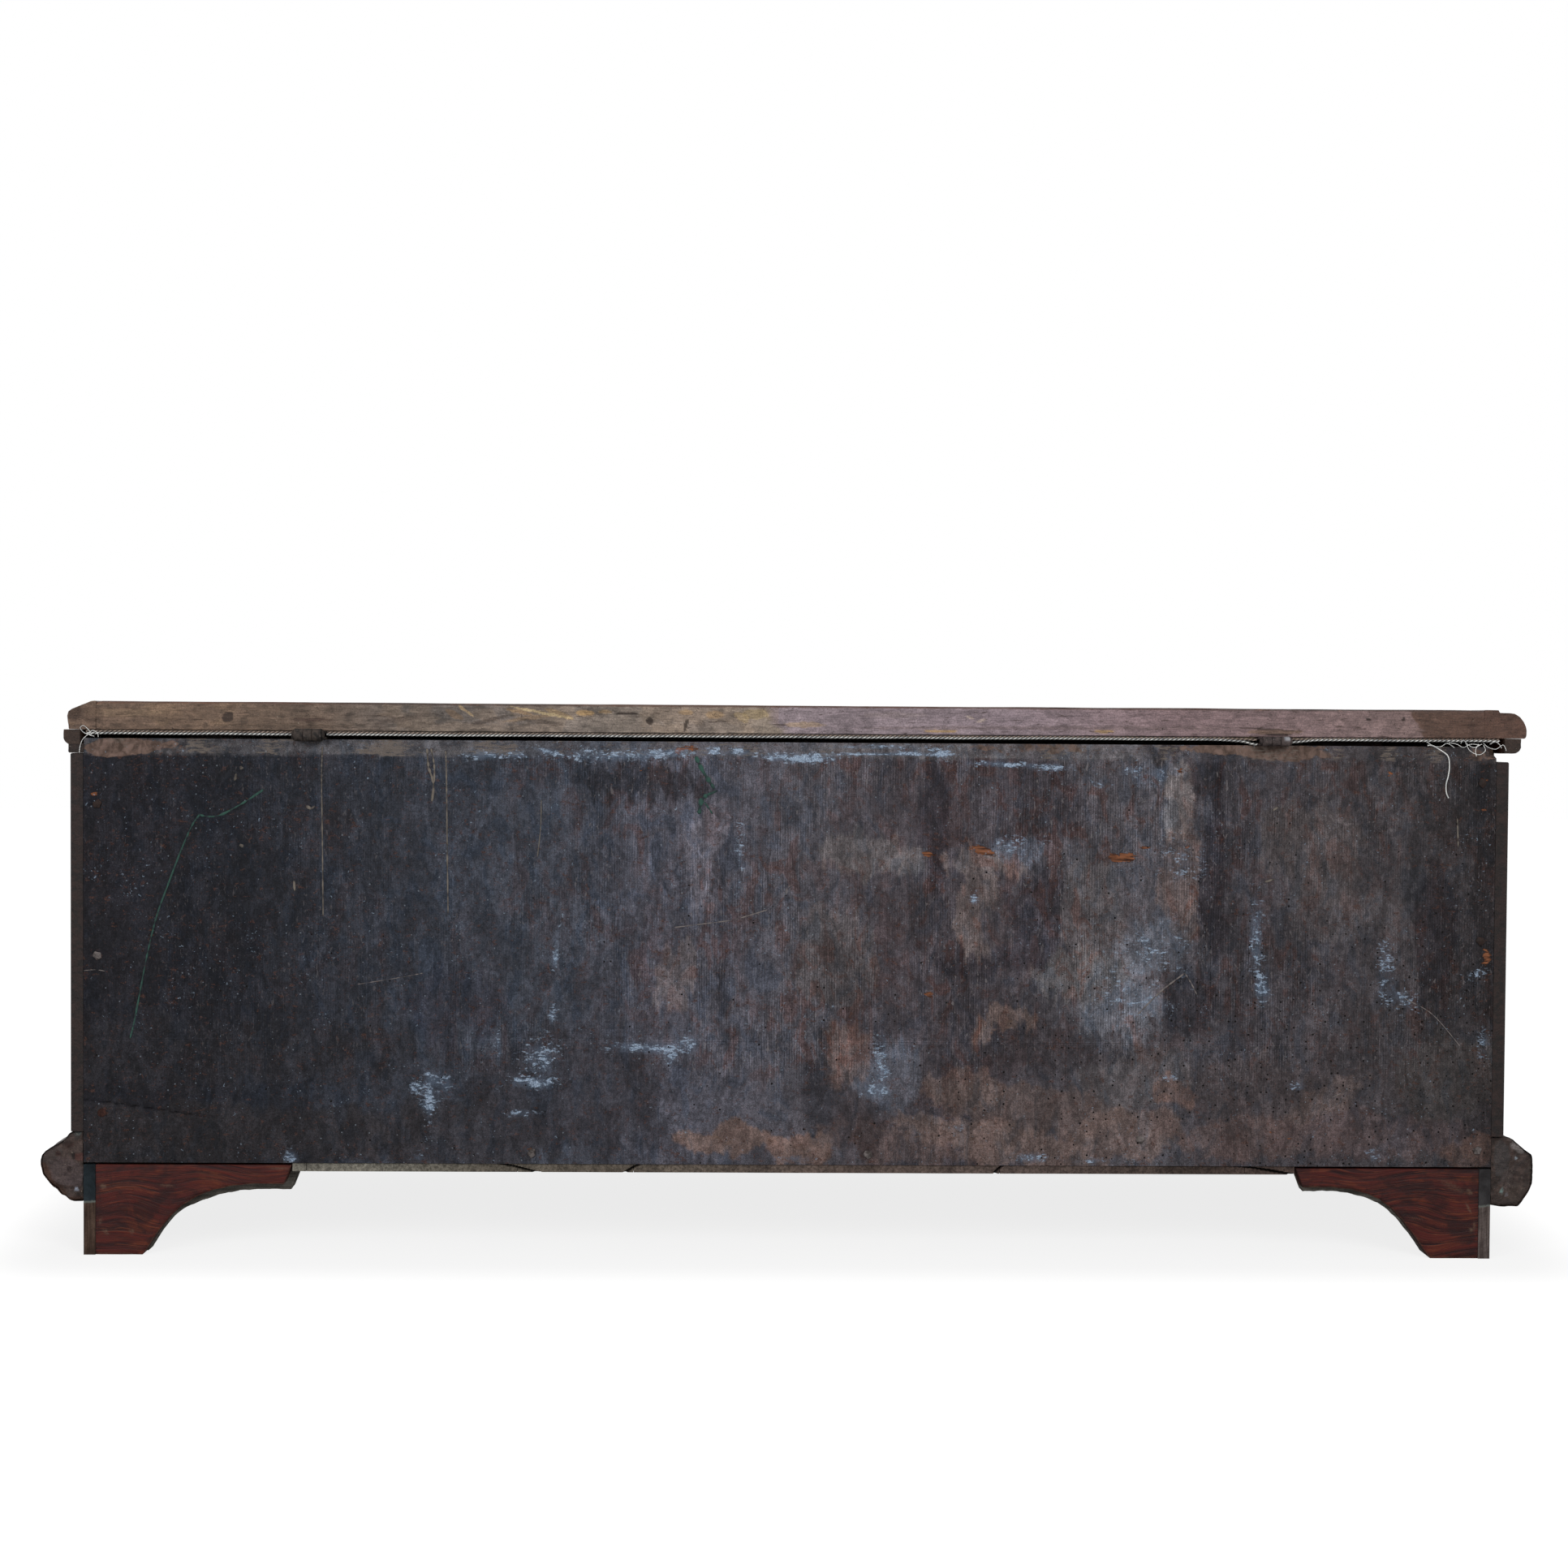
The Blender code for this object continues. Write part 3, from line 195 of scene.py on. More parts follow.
def eased_line(points, count):
    """A smooth line through the points: each coordinate is a cubic Hermite curve whose slopes are the chords'."""
    points = np.array(points, float)
    slopes = np.gradient(points, axis=0)
    place = np.linspace(0, len(points) - 1, count)
    first = np.minimum(place.astype(int), len(points) - 2)
    t = (place - first)[:, None]
    a, b, da, db = points[first], points[first + 1], slopes[first], slopes[first + 1]
    return (
        a * (2 * t ** 3 - 3 * t ** 2 + 1) + da * (t ** 3 - 2 * t ** 2 + t)
        + b * (3 * t ** 2 - 2 * t ** 3) + db * (t ** 3 - t ** 2)
    )


def tube(path, radius, sides, turn=0.0, flatten=1.0):
    """Rings of a tube: a circle of that radius round each point, square to the path, with no twist of its own."""
    path = np.array(path, float)
    ahead = np.gradient(path, axis=0)
    ahead /= np.linalg.norm(ahead, axis=1)[:, None]
    guide = np.array((0.0, 1.0, 0.0)) if abs(ahead[:, 1]).max() < 0.9 else np.array((0.3, 0.1, 1.0))
    across = np.cross(ahead, guide)
    across /= np.linalg.norm(across, axis=1)[:, None]
    above = np.cross(across, ahead)
    angle = turn + np.linspace(0, 2 * math.pi, sides, endpoint=False)
    radius = np.broadcast_to(np.asarray(radius, float), (len(path),))[:, None, None]
    return path[:, None] + radius * (
        across[:, None] * np.cos(angle)[None, :, None] + flatten * above[:, None] * np.sin(angle)[None, :, None]
    )


def shell(rings, values=None):
    """One closed shell: quads between each ring and the next, and a fan of triangles over each end ring. A value
    is one number for the whole shell or a grid of them, and an end's middle takes its ring's mean."""
    count, around = rings.shape[:2]
    ids = np.arange(count * around).reshape(count, around)
    after = np.roll(ids, -1, 1)
    quads = np.stack((ids[:-1], after[:-1], after[1:], ids[1:]), -1).reshape(-1, 4)
    caps = []
    for ring, middle, flip in ((ids[0], count * around, True), (ids[-1], count * around + 1, False)):
        pair = (np.roll(ring, -1), ring) if flip else (ring, np.roll(ring, -1))
        caps.append(np.stack((np.full(around, middle), *pair), -1))
    places = np.concatenate((rings.reshape(-1, 3), rings[[0, -1]].mean(1)))
    facing = np.cross(places[quads[:, 2]] - places[quads[:, 0]], places[quads[:, 3]] - places[quads[:, 1]])
    volume = (places[quads].mean(1) * facing).sum()
    for cap in caps:
        a, b, c = (places[cap[:, k]] for k in range(3))
        volume += (a * np.cross(b - a, c - a)).sum()
    triangles = np.concatenate(caps)
    if volume < 0:
        quads, triangles = quads[:, ::-1], triangles[:, ::-1]
    spread = {}
    for name, grid in (values or {}).items():
        if np.ndim(grid) == 0:
            grid = np.full((count, around), float(grid))
        spread[name] = np.concatenate((grid.reshape(count * around, -1), grid[[0, -1]].mean(1).reshape(2, -1)))
    return places, quads, triangles, spread


def placed(name, data):
    """A new object in the scene, at the origin, that shows the data."""
    made = bpy.data.objects.new(name, data)
    bpy.context.scene.collection.objects.link(made)
    return made


def piece(name, shells, body, finish, stands_for=(), sharp=40.0):
    """A mesh object made of closed shells, riding on a body, with each value stored on its points."""
    places, loops, starts, offset, values = [], [], [], 0, {}
    for points, quads, triangles, spread in shells:
        places.append(points)
        loops += [(quads + offset).ravel(), (triangles + offset).ravel()]
        starts += [np.full(len(quads), 4), np.full(len(triangles), 3)]
        for key, value in spread.items():
            values.setdefault(key, []).append(value)
        offset += len(points)
    places, loops, sizes = np.concatenate(places), np.concatenate(loops), np.concatenate(starts)
    mesh = bpy.data.meshes.new(name)
    mesh.vertices.add(len(places))
    mesh.vertices.foreach_set("co", places.astype(np.float32).ravel())
    mesh.loops.add(len(loops))
    mesh.loops.foreach_set("vertex_index", loops.astype(np.int32))
    mesh.polygons.add(len(sizes))
    mesh.polygons.foreach_set("loop_start", (np.cumsum(sizes) - sizes).astype(np.int32))
    mesh.update(calc_edges=True)
    for key, value in values.items():
        store(mesh, key, np.concatenate(value))
    mesh.shade_smooth()
    mesh.set_sharp_from_angle(angle=math.radians(sharp))
    mesh.materials.append(finish)
    made = placed(name, mesh)
    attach(made, body)
    if stands_for:
        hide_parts(*stands_for)
    return made


def store(mesh, name, values):
    """Keeps one number, or one linear colour, for each point of a mesh."""
    if values.shape[1] == 1:
        mesh.attributes.new(name, "FLOAT", "POINT").data.foreach_set("value", values.astype(np.float32).ravel())
        return
    filled = np.concatenate((values, np.ones((len(values), 1))), 1)
    mesh.attributes.new(name, "FLOAT_COLOR", "POINT").data.foreach_set("color", filled.astype(np.float32).ravel())


def dress(finish, *nodes):
    """Gives CAD pieces that keep their shape a finish."""
    for node in nodes:
        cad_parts[node].material_slots[0].material = finish


def carried(axis, stations, section):
    """Rings of a bar: a section in the two other axes, or one for each station, carried along the axis."""
    section = np.broadcast_to(section, (len(stations), *np.shape(section)[-2:]))
    place = np.broadcast_to(np.asarray(stations, float)[:, None], section.shape[:2])
    return np.insert(section, axis, place, axis=2)


def eased_box(low, high, ease, counts=(2, 2, 2)):
    """The (across, up) outline of a bar's section with its four corners eased."""
    (a, c), (b, d) = low, high
    corners = (
        (b, c + ease), (b, d - ease), (b - ease, d), (a + ease, d), (a, d - ease), (a, c + ease), (a + ease, c),
        (b - ease, c),
    )
    rows, top, rear = counts
    return outline(corners, (rows, 1, top, 1, rear, 1, top, 1))


# Nodes

# Each kind of node by a short word: its type, its usual settings, the sockets that inputs fill in order, and the
# output handed on, or None for all of them
KINDS = {
    "place": ("TexCoord", {}, (), "Object"),
    "kept": ("Attribute", {}, (), "Fac"),
    "stretched": ("Mapping", {}, (0, 3), 0),
    "turned": ("Mapping", {}, (0, 2), 0),
    "noise": ("TexNoise", {}, ("Vector", "Scale", "Detail", "Roughness", "Distortion"), 0),
    "cells": ("TexVoronoi", {"voronoi_dimensions": "2D"}, ("Vector", "Scale"), None),
    "range": ("MapRange", {"interpolation_type": "SMOOTHSTEP"}, (0, 1, 2, 3, 4), 0),
    "mix": ("Mix", {"data_type": "RGBA"}, (0, 6, 7), 2),
    "sum": ("Math", {}, (0, 1), 0),
    "times": ("Math", {"operation": "MULTIPLY"}, (0, 1), 0),
    "largest": ("Math", {"operation": "MAXIMUM"}, (0, 1), 0),
    "below": ("Math", {"operation": "LESS_THAN"}, (0, 1), 0),
    "sine": ("Math", {"operation": "SINE"}, (0,), 0),
    "vector": ("VectorMath", {}, (0, 1), 0),
    "scaled": ("VectorMath", {"operation": "SCALE"}, (0, 3), 0),
    "axes": ("SeparateXYZ", {}, (0,), None),
    "joined": ("CombineXYZ", {}, (0, 1, 2), 0),
    "channels": ("SeparateColor", {}, (0,), None),
    "ray": ("LightPath", {}, (), None),
    "bump": ("Bump", {}, ("Height", "Distance"), 0),
    "shader": ("BsdfPrincipled", {}, (
        "Base Color", "Roughness", "Specular IOR Level", "Metallic", "Sheen Weight", "Normal",
    ), 0),
    "matt": ("BsdfDiffuse", {}, (0,), 0),
    "glow": ("Emission", {}, (0, 1), 0),
    "either": ("MixShader", {}, (0, 1, 2), 0),
    "surface": ("OutputMaterial", {}, (0,), None),
    "sky": ("Background", {}, (0, 1), 0),
    "world": ("OutputWorld", {}, (0,), None),
}


def add(tree, kind, *inputs, out=None, **settings):
    """Adds a node with its settings and fills its inputs in order, each with a link, a value, or a colour as hex
    digits or linear red, green and blue. A kind of two inputs is chained over more of them."""
    name, usual, sockets, handed = KINDS[kind]
    if len(inputs) > len(sockets):
        inputs = (add(tree, kind, *inputs[:-1]), inputs[-1])
    made = tree.nodes.new("ShaderNode" + name)
    for key, setting in {**usual, **settings}.items():
        setattr(made, key, setting)
    for socket, value in zip(sockets, inputs):
        socket = made.inputs[socket]
        if isinstance(value, bpy.types.NodeSocket):
            tree.links.new(value, socket)
        elif value is not None:
            socket.default_value = opaque(value) if socket.type == "RGBA" else value
    handed = handed if out is None else out
    return made.outputs if handed is None else made.outputs[handed]


def new_finish(name):
    """An empty finish, and the function that adds nodes to it."""
    made = bpy.data.materials.new(name)
    made.use_nodes = True
    made.node_tree.nodes.clear()
    return made, partial(add, made.node_tree)


# Finishes

def noise_at(node, coords, size, stretch=(1, 1, 1), detail=4.0, warp=0.0):
    """Noise of features about size millimetres wide, drawn out along the axes whose stretch is below 1."""
    return node("noise", node("stretched", coords, stretch), 1000 / size, detail, 0.6, warp)


def grained_finish(name):
    """An empty finish, the function that adds nodes to it, its Object coordinates and the noise over them."""
    made, node = new_finish(name)
    coords = node("place")
    return made, node, coords, partial(noise_at, node, coords)


def layered(node, colour, *layers):
    """Colours laid over one another: each layer is a mask and the colour that shows where the mask is 1."""
    for mask, layer in layers:
        colour = node("mix", mask, colour, layer)
    return colour


def finish_off(made, node, colour, roughness, specular, height=None, metallic=0.0, sheen=0.0):
    """Ends a finish with its shader; the height, in millimetres, goes through a bump."""
    normal = None if height is None else node("bump", height, 0.001)
    node("surface", node("shader", colour, roughness, specular, metallic, sheen, normal))
    return made


def grimed_planks(settings):
    """Sawn softwood under smoke, dirt and moisture: almost black and matt, with upright saw ridges that catch dust and
    paint, a brown crust where the dirt lies bare, chips down to orange wood, rust flecks and worm holes.
    The tone is kept on the points; noise from 1 to 60 mm breaks it up as on the real boards."""
    made, node, coords, noise = grained_finish("grimed softwood")
    tone = node("kept", out="Color", attribute_name="tone")
    smear, chip, crust = node("channels", node("kept", out="Color", attribute_name="marks"))[:3]
    saw, worm, rub = node("channels", node("kept", out="Color", attribute_name="tools"))[:3]
    pitch = settings.saw_pitch * 1000
    cloud = noise(40, (1, 1, 0.75), 9.0, 0.5)
    blotch = noise(10, (1, 1, 0.8), 8.0, 0.7)
    streak = noise(5.0, (1, 1, 0.09), 6.0)
    hair = noise(1.6, (1, 1, 0.05), 3.0)
    grain = noise(2.4, (0.1, 1, 1), 5.0, 0.3)
    speck = noise(1.2, (1, 1, 1), 4.0)
    crisp = noise(20, (1, 1, 0.4), 12.0, 0.7)
    flake = noise(7, (1, 1, 0.7), 12.0, 1.0)
    across = node("axes", coords)["X"]
    sway = node("times", cloud, 0.0045)
    ridge = node("sine", node("times", node("sum", across, sway), 2 * math.pi * 1000 / pitch))
    ridge = node("times", ridge, node("range", hair, 0.4, 0.62), node("range", streak, 0.35, 0.6, 0.3, 1.0), saw)
    shade = node(
        "times", node("range", cloud, 0.28, 0.72, 0.82, 1.22), node("range", blotch, 0.3, 0.7, 0.84, 1.2),
        node("sum", 1, node("times", saw, node("range", streak, 0.3, 0.7, -0.2, 0.22))),
        node("range", grain, 0.25, 0.75, 0.92, 1.09),
        node("range", crisp, 0.46, 0.54, 0.83, 1.19), node("range", flake, 0.46, 0.54, 0.84, 1.17),
        node("range", speck, 0.25, 0.75, 0.56, 1.52), node("range", ridge, -1, 1, 0.54, 1.52),
    )
    colour = node("scaled", tone, shade)
    hue = noise(22, (1, 1, 0.5), 9.0, 1.0)
    warmth = node("times", node("range", hue, 0.52, 0.58, 0.0, 0.8), saw)
    colour = node("mix", warmth, colour, "ffd9cc", blend_type="MULTIPLY")
    colour = node("mix", node("range", hue, 0.47, 0.39, 0.0, 0.7), colour, "d9e8f4", blend_type="MULTIPLY")
    flecks = node("sum", noise(4.0, (0.6, 1, 1), 8.0, 0.6), node("range", hue, 0.3, 0.7, -0.03, 0.05))
    dusty = node("times", node("range", noise(3.2, (1, 1, 0.4), 8.0, 0.5), 0.59, 0.66, 0, 0.55), saw)
    bare = node("range", node("sum", noise(9, (0.6, 1, 1), 9.0, 0.5), crust), 0.8, 0.95, 0.0, 0.92)
    rubbed = node("range", node("sum", noise(2.0, (0.22, 1, 1), 7.0), rub), 0.88, 1.06, 0.0, 0.8)
    torn = node("range", node("sum", noise(4.0, (0.5, 1, 1), 9.0, 0.6), chip), 0.9, 0.98)
    hazy = node("sum", smear, node("range", blotch, 0.3, 0.7, -0.14, 0.14))
    scatter = node("sum", noise(2.4, (0.7, 1, 0.8), 6.0, 0.5), node("range", cloud, 0.42, 0.62, -0.04, 0.03))
    scatter = node("range", node("sum", scatter, node("times", smear, 0.2)), 0.66, 0.71, 0, 0.75)
    brushed = node("range", noise(1.7, (0.3, 1, 0.8), 8.0), 0.38, 0.62, 0, 0.45)
    broken = node("range", noise(7, (0.5, 1, 0.7), 9.0, 0.4), 0.42, 0.58, 0, 0.42)
    painted = node("sum", brushed, broken, smear, node("range", ridge, -1, 1, -0.06, 0.06))
    painted = node("range", painted, 0.84, 1.16, 0.0, 0.9)
    flat = node("turned", coords, (-math.pi / 2, 0, 0))
    holes = dotted(node, flat, 7.5, worm, 0.08, 0.16)
    grit = node("range", speck, 0.35, 0.65)
    colour = layered(
        node, colour, (node("range", flecks, 0.61, 0.66, 0, 0.55), node("mix", grit, "2c1c18", "654539")),
        (dusty, "837d7e"), (bare, node("mix", node("range", blotch, 0.3, 0.7), "4a3c34", settings.crust_colour)),
        (rubbed, node("mix", speck, "4d443f", "8b8077")),
        (torn, node("mix", node("range", grain, 0.35, 0.6), "3b241b", settings.chip_colour)),
        (node("range", hazy, 0.1, 0.6, 0, 0.4), "62748a"), (scatter, "8797a8"),
        (painted, node("mix", grit, "6d8199", settings.paint_colour)), (holes, "0b0706"),
        (node("times", dotted(node, flat, 8.0, 0.07, 0.03, 0.11), 0.5), "8f98a2"),
    )
    height = node(
        "sum", node("range", ridge, -1, 1, -0.12, 0.12), node("range", grain, 0.2, 0.8, 0, 0.12),
        node("range", speck, 0.2, 0.8, 0, 0.16), node("range", blotch, 0.2, 0.8, 0, 0.4),
        node("range", holes, 0, 1, 0, -0.9), node("range", torn, 0, 1, 0, -0.7),
        node("range", painted, 0, 0.9, 0, 0.12), node("range", bare, 0, 1, 0, 0.3),
    )
    gloss = node("sum", node("range", cloud, 0.3, 0.7, 0.58, 0.8), node("range", bare, 0, 1, 0, 0.15))
    return finish_off(made, node, colour, gloss, 0.12, height)


def dotted(node, flat, size, chance, small, large):
    """1 inside small round dots and 0 elsewhere: a chance of the cells of that size hold one each."""
    cells = node("cells", flat, 1000 / size)
    draw = node("channels", cells["Color"])
    there = node("below", draw[0], chance)
    reach = node("range", draw[1], 0, 1, small, large)
    inside = node("below", cells["Distance"], reach)
    return node("times", there, inside)


def stained_walnut(name, stretch, settings, grimed_rear=False):
    """Walnut stained dark red-brown and waxed: a soft sheen over open pores, with the figure drawn along the
    board. Where the points' worn value is 1 the wood is bare, dusty and matt in the tone kept beside it, and a
    grimed rear is black with dirt over the last 4 mm before the back's plane."""
    made, node, coords, noise = grained_finish(name)
    worn = node("kept", attribute_name="worn")
    tone = node("kept", out="Color", attribute_name="tone")
    drawn = tuple(0.05 if axis == stretch else 1.0 for axis in range(3))
    long = tuple(0.018 if axis == stretch else 1.0 for axis in range(3))
    figure = noise(34, drawn, 5.0, 1.2)
    rings = node("sine", node("times", figure, 46.0))
    pores = noise(0.9, long, 2.0)
    cloud = noise(70, (1, 1, 1), 5.0, 0.5)
    fleck = noise(1.6, (1, 1, 1), 4.0)
    handled = node("sum", noise(55, (1, 1, 1), 8.0, 1.0), node("range", fleck, 0.3, 0.7, -0.08, 0.08))
    stained = layered(
        node, settings.dark_stain, (node("range", figure, 0.32, 0.68), settings.light_stain),
        (node("range", rings, -1, 1, 0, 0.45), "2a150e"), (node("range", pores, 0.6, 0.7, 0, 0.75), "140a07"),
        (node("range", handled, 0.6, 0.72, 0, 0.5), "8a5c3c"),
    )
    mottle = noise(7, (0.8, 1, 1), 9.0, 0.8)
    shade = node(
        "times", node("range", cloud, 0.25, 0.75, 0.84, 1.16), node("range", fleck, 0.2, 0.8, 0.66, 1.36),
        node("range", mottle, 0.28, 0.72, 0.86, 1.14),
        node("range", noise(13, (0.5, 1, 1), 12.0, 0.6), 0.46, 0.54, 0.87, 1.13),
        node("range", noise(1.3, (0.08, 1, 1), 4.0), 0.35, 0.65, 0.84, 1.17),
    )
    nicks = node("range", noise(3.0, (0.6, 1, 1), 6.0, 1.5), 0.64, 0.69, 0, 0.8)
    bare = layered(
        node, node("scaled", tone, shade), (nicks, "33261f"),
        (node("range", noise(1.9, (0.1, 1, 1), 5.0, 0.6), 0.61, 0.66, 0, 0.75), "3a2b24"),
        (node("range", noise(1.8, (0.5, 1, 1), 5.0), 0.66, 0.72, 0, 0.6), "b3a493"),
    )
    colour = node("mix", worn, stained, bare)
    if grimed_rear:
        depth = node("sum", node("axes", coords)["Y"], node("range", mottle, 0.2, 0.8, -0.002, 0.002))
        worn = node("range", depth, BACK_Y - 0.004, BACK_Y - 0.002)
        colour = node("mix", worn, colour, node("mix", node("range", mottle, 0.35, 0.65), "130d0c", "2c1e1b"))
    gloss = node("mix", worn, node("mix", cloud, "6a6a6a", "b0b0b0"), "dddddd")
    height = node(
        "sum", node("range", pores, 0.6, 0.72, 0, -0.12), node("range", fleck, 0.2, 0.8, 0, 0.05),
        node("times", worn, node("range", noise(5, drawn, 6.0, 0.8), 0.2, 0.8, 0, 0.55)),
        node("times", worn, node("range", nicks, 0, 0.8, 0, -0.5)),
    )
    return finish_off(made, node, colour, gloss, 0.4, height)


def red_stained_pine(settings):
    """Pine brushed with a red-brown varnish stain: glossy in the streaks, dark between them, with the brush
    marks and grain following each bracket's length and knots standing dark."""
    made, node, coords, noise = grained_finish("red stained pine")
    worn = node("kept", attribute_name="worn")
    bend = noise(70, (0.8, 1, 1), 0.0)
    lifted = node("joined", 0, 0, node("times", bend, 0.036))
    flow = node("vector", coords, lifted)
    bands = noise_at(node, flow, 4.5, (0.06, 1, 1), 7.0, 0.3)
    fine = noise_at(node, flow, 1.0, (0.035, 1, 1), 4.0)
    cloud = noise(26, (0.7, 1, 1), 8.0, 0.8)
    fleck = noise(1.5, (0.6, 1, 1), 3.0)
    glow = node("range", noise_at(node, flow, 16, (0.25, 1, 1), 5.0, 0.5), 0.5, 0.7, 0, 0.5)
    colour = layered(
        node, settings.dark_varnish, (node("range", bands, 0.32, 0.68), settings.red_varnish),
        (node("times", glow, node("range", fine, 0.4, 0.6, 0.4, 1)), "7a3c22"),
        (node("range", fine, 0.56, 0.66, 0, 0.5), "80432b"), (node("range", cloud, 0.5, 0.63, 0, 0.65), "1e0e10"),
        (node("range", fleck, 0.66, 0.74, 0, 0.7), "150b0a"),
        (node("times", worn, node("range", fleck, 0.3, 0.6)), "6b5546"),
    )
    height = node("sum", node("range", bands, 0.2, 0.8, 0, 0.28), node("range", fine, 0.3, 0.7, 0, 0.1))
    return finish_off(made, node, colour, node("range", bands, 0.3, 0.7, 0.42, 0.62), 0.22, height)


def bare_pine(name, dark, light, stretch, shade_height=None, shade_colours=(), toned=False):
    """Unfinished pine gone grey-brown: matt, with raised grain along the board and dust in it. Above the height given
    it is painted dark in the two colours given, a painted shadow in the recess under the base moulding's lip, and
    just below that height a pale line is painted light on the upward-facing shoulder. Where it is toned, the tone
    kept on the points darkens it."""
    made, node, coords, noise = grained_finish(name)
    drawn = tuple(0.04 if axis == stretch else 1.0 for axis in range(3))
    grain = noise(3.0, drawn, 5.0, 0.4)
    cloud = noise(26, (1, 1, 1), 6.0, 0.6)
    speck = noise(1.4, (1, 1, 1), 3.0)
    colour = node("mix", node("range", grain, 0.3, 0.7), dark, light)
    shade = node("times", node("range", cloud, 0.25, 0.75, 0.68, 1.3), node("range", speck, 0.25, 0.75, 0.8, 1.2))
    colour = node("scaled", colour, shade)
    if toned:
        tone = node("kept", out="Color", attribute_name="tone")
        colour = node("mix", 1.0, colour, tone, blend_type="MULTIPLY")
    # Painted shadow above the given height, dark in the two colours given, and below it a pale line of painted light
    # on the upward-facing shoulder
    if shade_height:
        up = node("sum", node("axes", coords)["Z"], node("range", cloud, 0.3, 0.7, -0.0015, 0.0015))
        colour = layered(
            node, colour, (node("range", up, shade_height - 0.002, shade_height), "6b6f6a"),
            (node("range", up, shade_height, shade_height + 0.002), node("mix", node("range", cloud, 0.3, 0.7), *shade_colours)),
        )
    height = node("sum", node("range", grain, 0.2, 0.8, 0, 0.35), node("range", speck, 0.2, 0.8, 0, 0.1))
    return finish_off(made, node, colour, 0.85, 0.15, height)


def rusted_iron(name, dark, rust, rubbed=1.0):
    """Hand-forged iron under rust and dirt: matt and grainy, and metallic only where handling has rubbed it. Where the
    value kept on the points for wear and glint is 1 it is bright, polished metal painted near white: partly rubbed
    wear, partly a painted glint."""
    made, node, _, noise = grained_finish(name)
    cloud = noise(7, (1, 1, 1), 6.0, 0.4)
    pit = noise(1.6, (1, 1, 1), 4.0)
    colour = node("mix", node("range", cloud, 0.35, 0.65), dark, rust)
    colour = node("mix", node("range", pit, 0.55, 0.72, 0, 0.7), colour, "17110f")
    bright = node("range", noise(4, (1, 1, 1), 5.0), 0.62, 0.7, 0, rubbed)
    # Painted glint: where the kept value is 1 the iron is painted near white, besides being metallic and smoother
    polish = node("kept", attribute_name="polish")
    bright = node("largest", bright, polish)
    colour = node("mix", polish, node("mix", bright, colour, "6f6a66"), "b9bcc4")
    height = node("sum", node("range", cloud, 0.2, 0.8, 0, 0.25), node("range", pit, 0.2, 0.8, 0, 0.18))
    gloss, metallic = node("range", bright, 0, 1, 0.78, 0.36), node("range", bright, 0, 1, 0.0, 0.9)
    return finish_off(made, node, colour, gloss, 0.3, height, metallic)


def plain_linen():
    """Aged plain-weave linen: matt and hairy. Its threads lie 0.9 mm apart but are drawn 1.6 mm apart to show."""
    made, node, coords, noise = grained_finish("plain linen")
    parts = node("axes", coords)
    turns = 2 * math.pi * 1000 / 3.2
    warp = node("sine", node("times", parts[0], turns))
    weft = node("sine", node("times", parts[1], turns))
    weave = node("times", warp, weft)
    cloud = noise(60, (1, 1, 1), 9.0)
    spill = node("range", noise(90, (1, 1, 1), 9.0), 0.6, 0.68, 0, 0.35)
    colour = layered(
        node, "9a8768", (node("range", cloud, 0.3, 0.7), "ad9d7e"), (node("range", weave, -1, 1, 0, 0.35), "6a5940"),
        (spill, "6e5638"),
    )
    return finish_off(made, node, colour, 0.92, 0.2, node("range", weave, -1, 1, 0, 0.22), sheen=0.25)


def twisted_yarn(name, light, dark):
    """Cotton yarn gone dusty: matt fibres along each strand, and painted shade darkening the hollows between the
    turns.
    """
    made, node, _, noise = grained_finish(name)
    hollow = node("kept", attribute_name="hollow")
    fibre = noise(0.8, (0.4, 1, 1), 3.0)
    dust = noise(14, (1, 1, 1), 5.0)
    colour = layered(
        node, light, (node("range", dust, 0.4, 0.72, 0, 0.8), dark), (node("range", fibre, 0.45, 0.7, 0, 0.5), dark),
        # Painted shade in the hollows between the turns
        (hollow, "2a2420"),
    )
    return finish_off(made, node, colour, 0.9, 0.2, node("range", fibre, 0.3, 0.7, 0, 0.12), sheen=0.2)


def dried_matter(name, light, dark):
    """Something dried on the boards, such as glue or chalk: matt, thin and dirty at its edges."""
    made, node, _, noise = grained_finish(name)
    patch = noise(3.2, (1, 1, 0.5), 5.0)
    edge = node("kept", attribute_name="hollow")
    colour = node("mix", node("range", node("sum", patch, edge), 0.4, 0.85), light, dark)
    return finish_off(made, node, colour, 0.8, 0.2, node("range", patch, 0.3, 0.7, 0, 0.08))


# Sizes and colours that a user would change

def metres(name, description, default, low, high):
    """A length that a user may change, in metres."""
    return FloatProperty(name=name, description=description, default=default, min=low, max=high, unit="LENGTH")


def stain(name, description, hex_colour):
    """A colour that a user may change."""
    return FloatVectorProperty(
        name=name, description=description, default=tuple(linear(hex_colour)), subtype="COLOR", size=3, min=0, max=1,
    )


class CassapancaBack(PropertyGroup):
    """Sizes and colours of the back's planks"""

    saw_pitch: metres("Saw mark pitch", "Distance between the upright saw marks", 0.0029, 0.001, 0.02)
    bevel_height: metres(
        "Worn edge height", "Height of the worn slope along the back's upper edge", 0.019, 0.005, 0.05,
    )
    bevel_depth: metres("Worn edge depth", "How far the upper edge is worn back", 0.0055, 0.001, 0.012)
    crust_colour: stain("Crust colour", "Colour of the bare dirt and dust", "866f65")
    chip_colour: stain("Chip colour", "Colour of the wood where the surface has chipped", "8f5c40")
    paint_colour: stain("Paint colour", "Colour of the old paint smears", "bccde2")


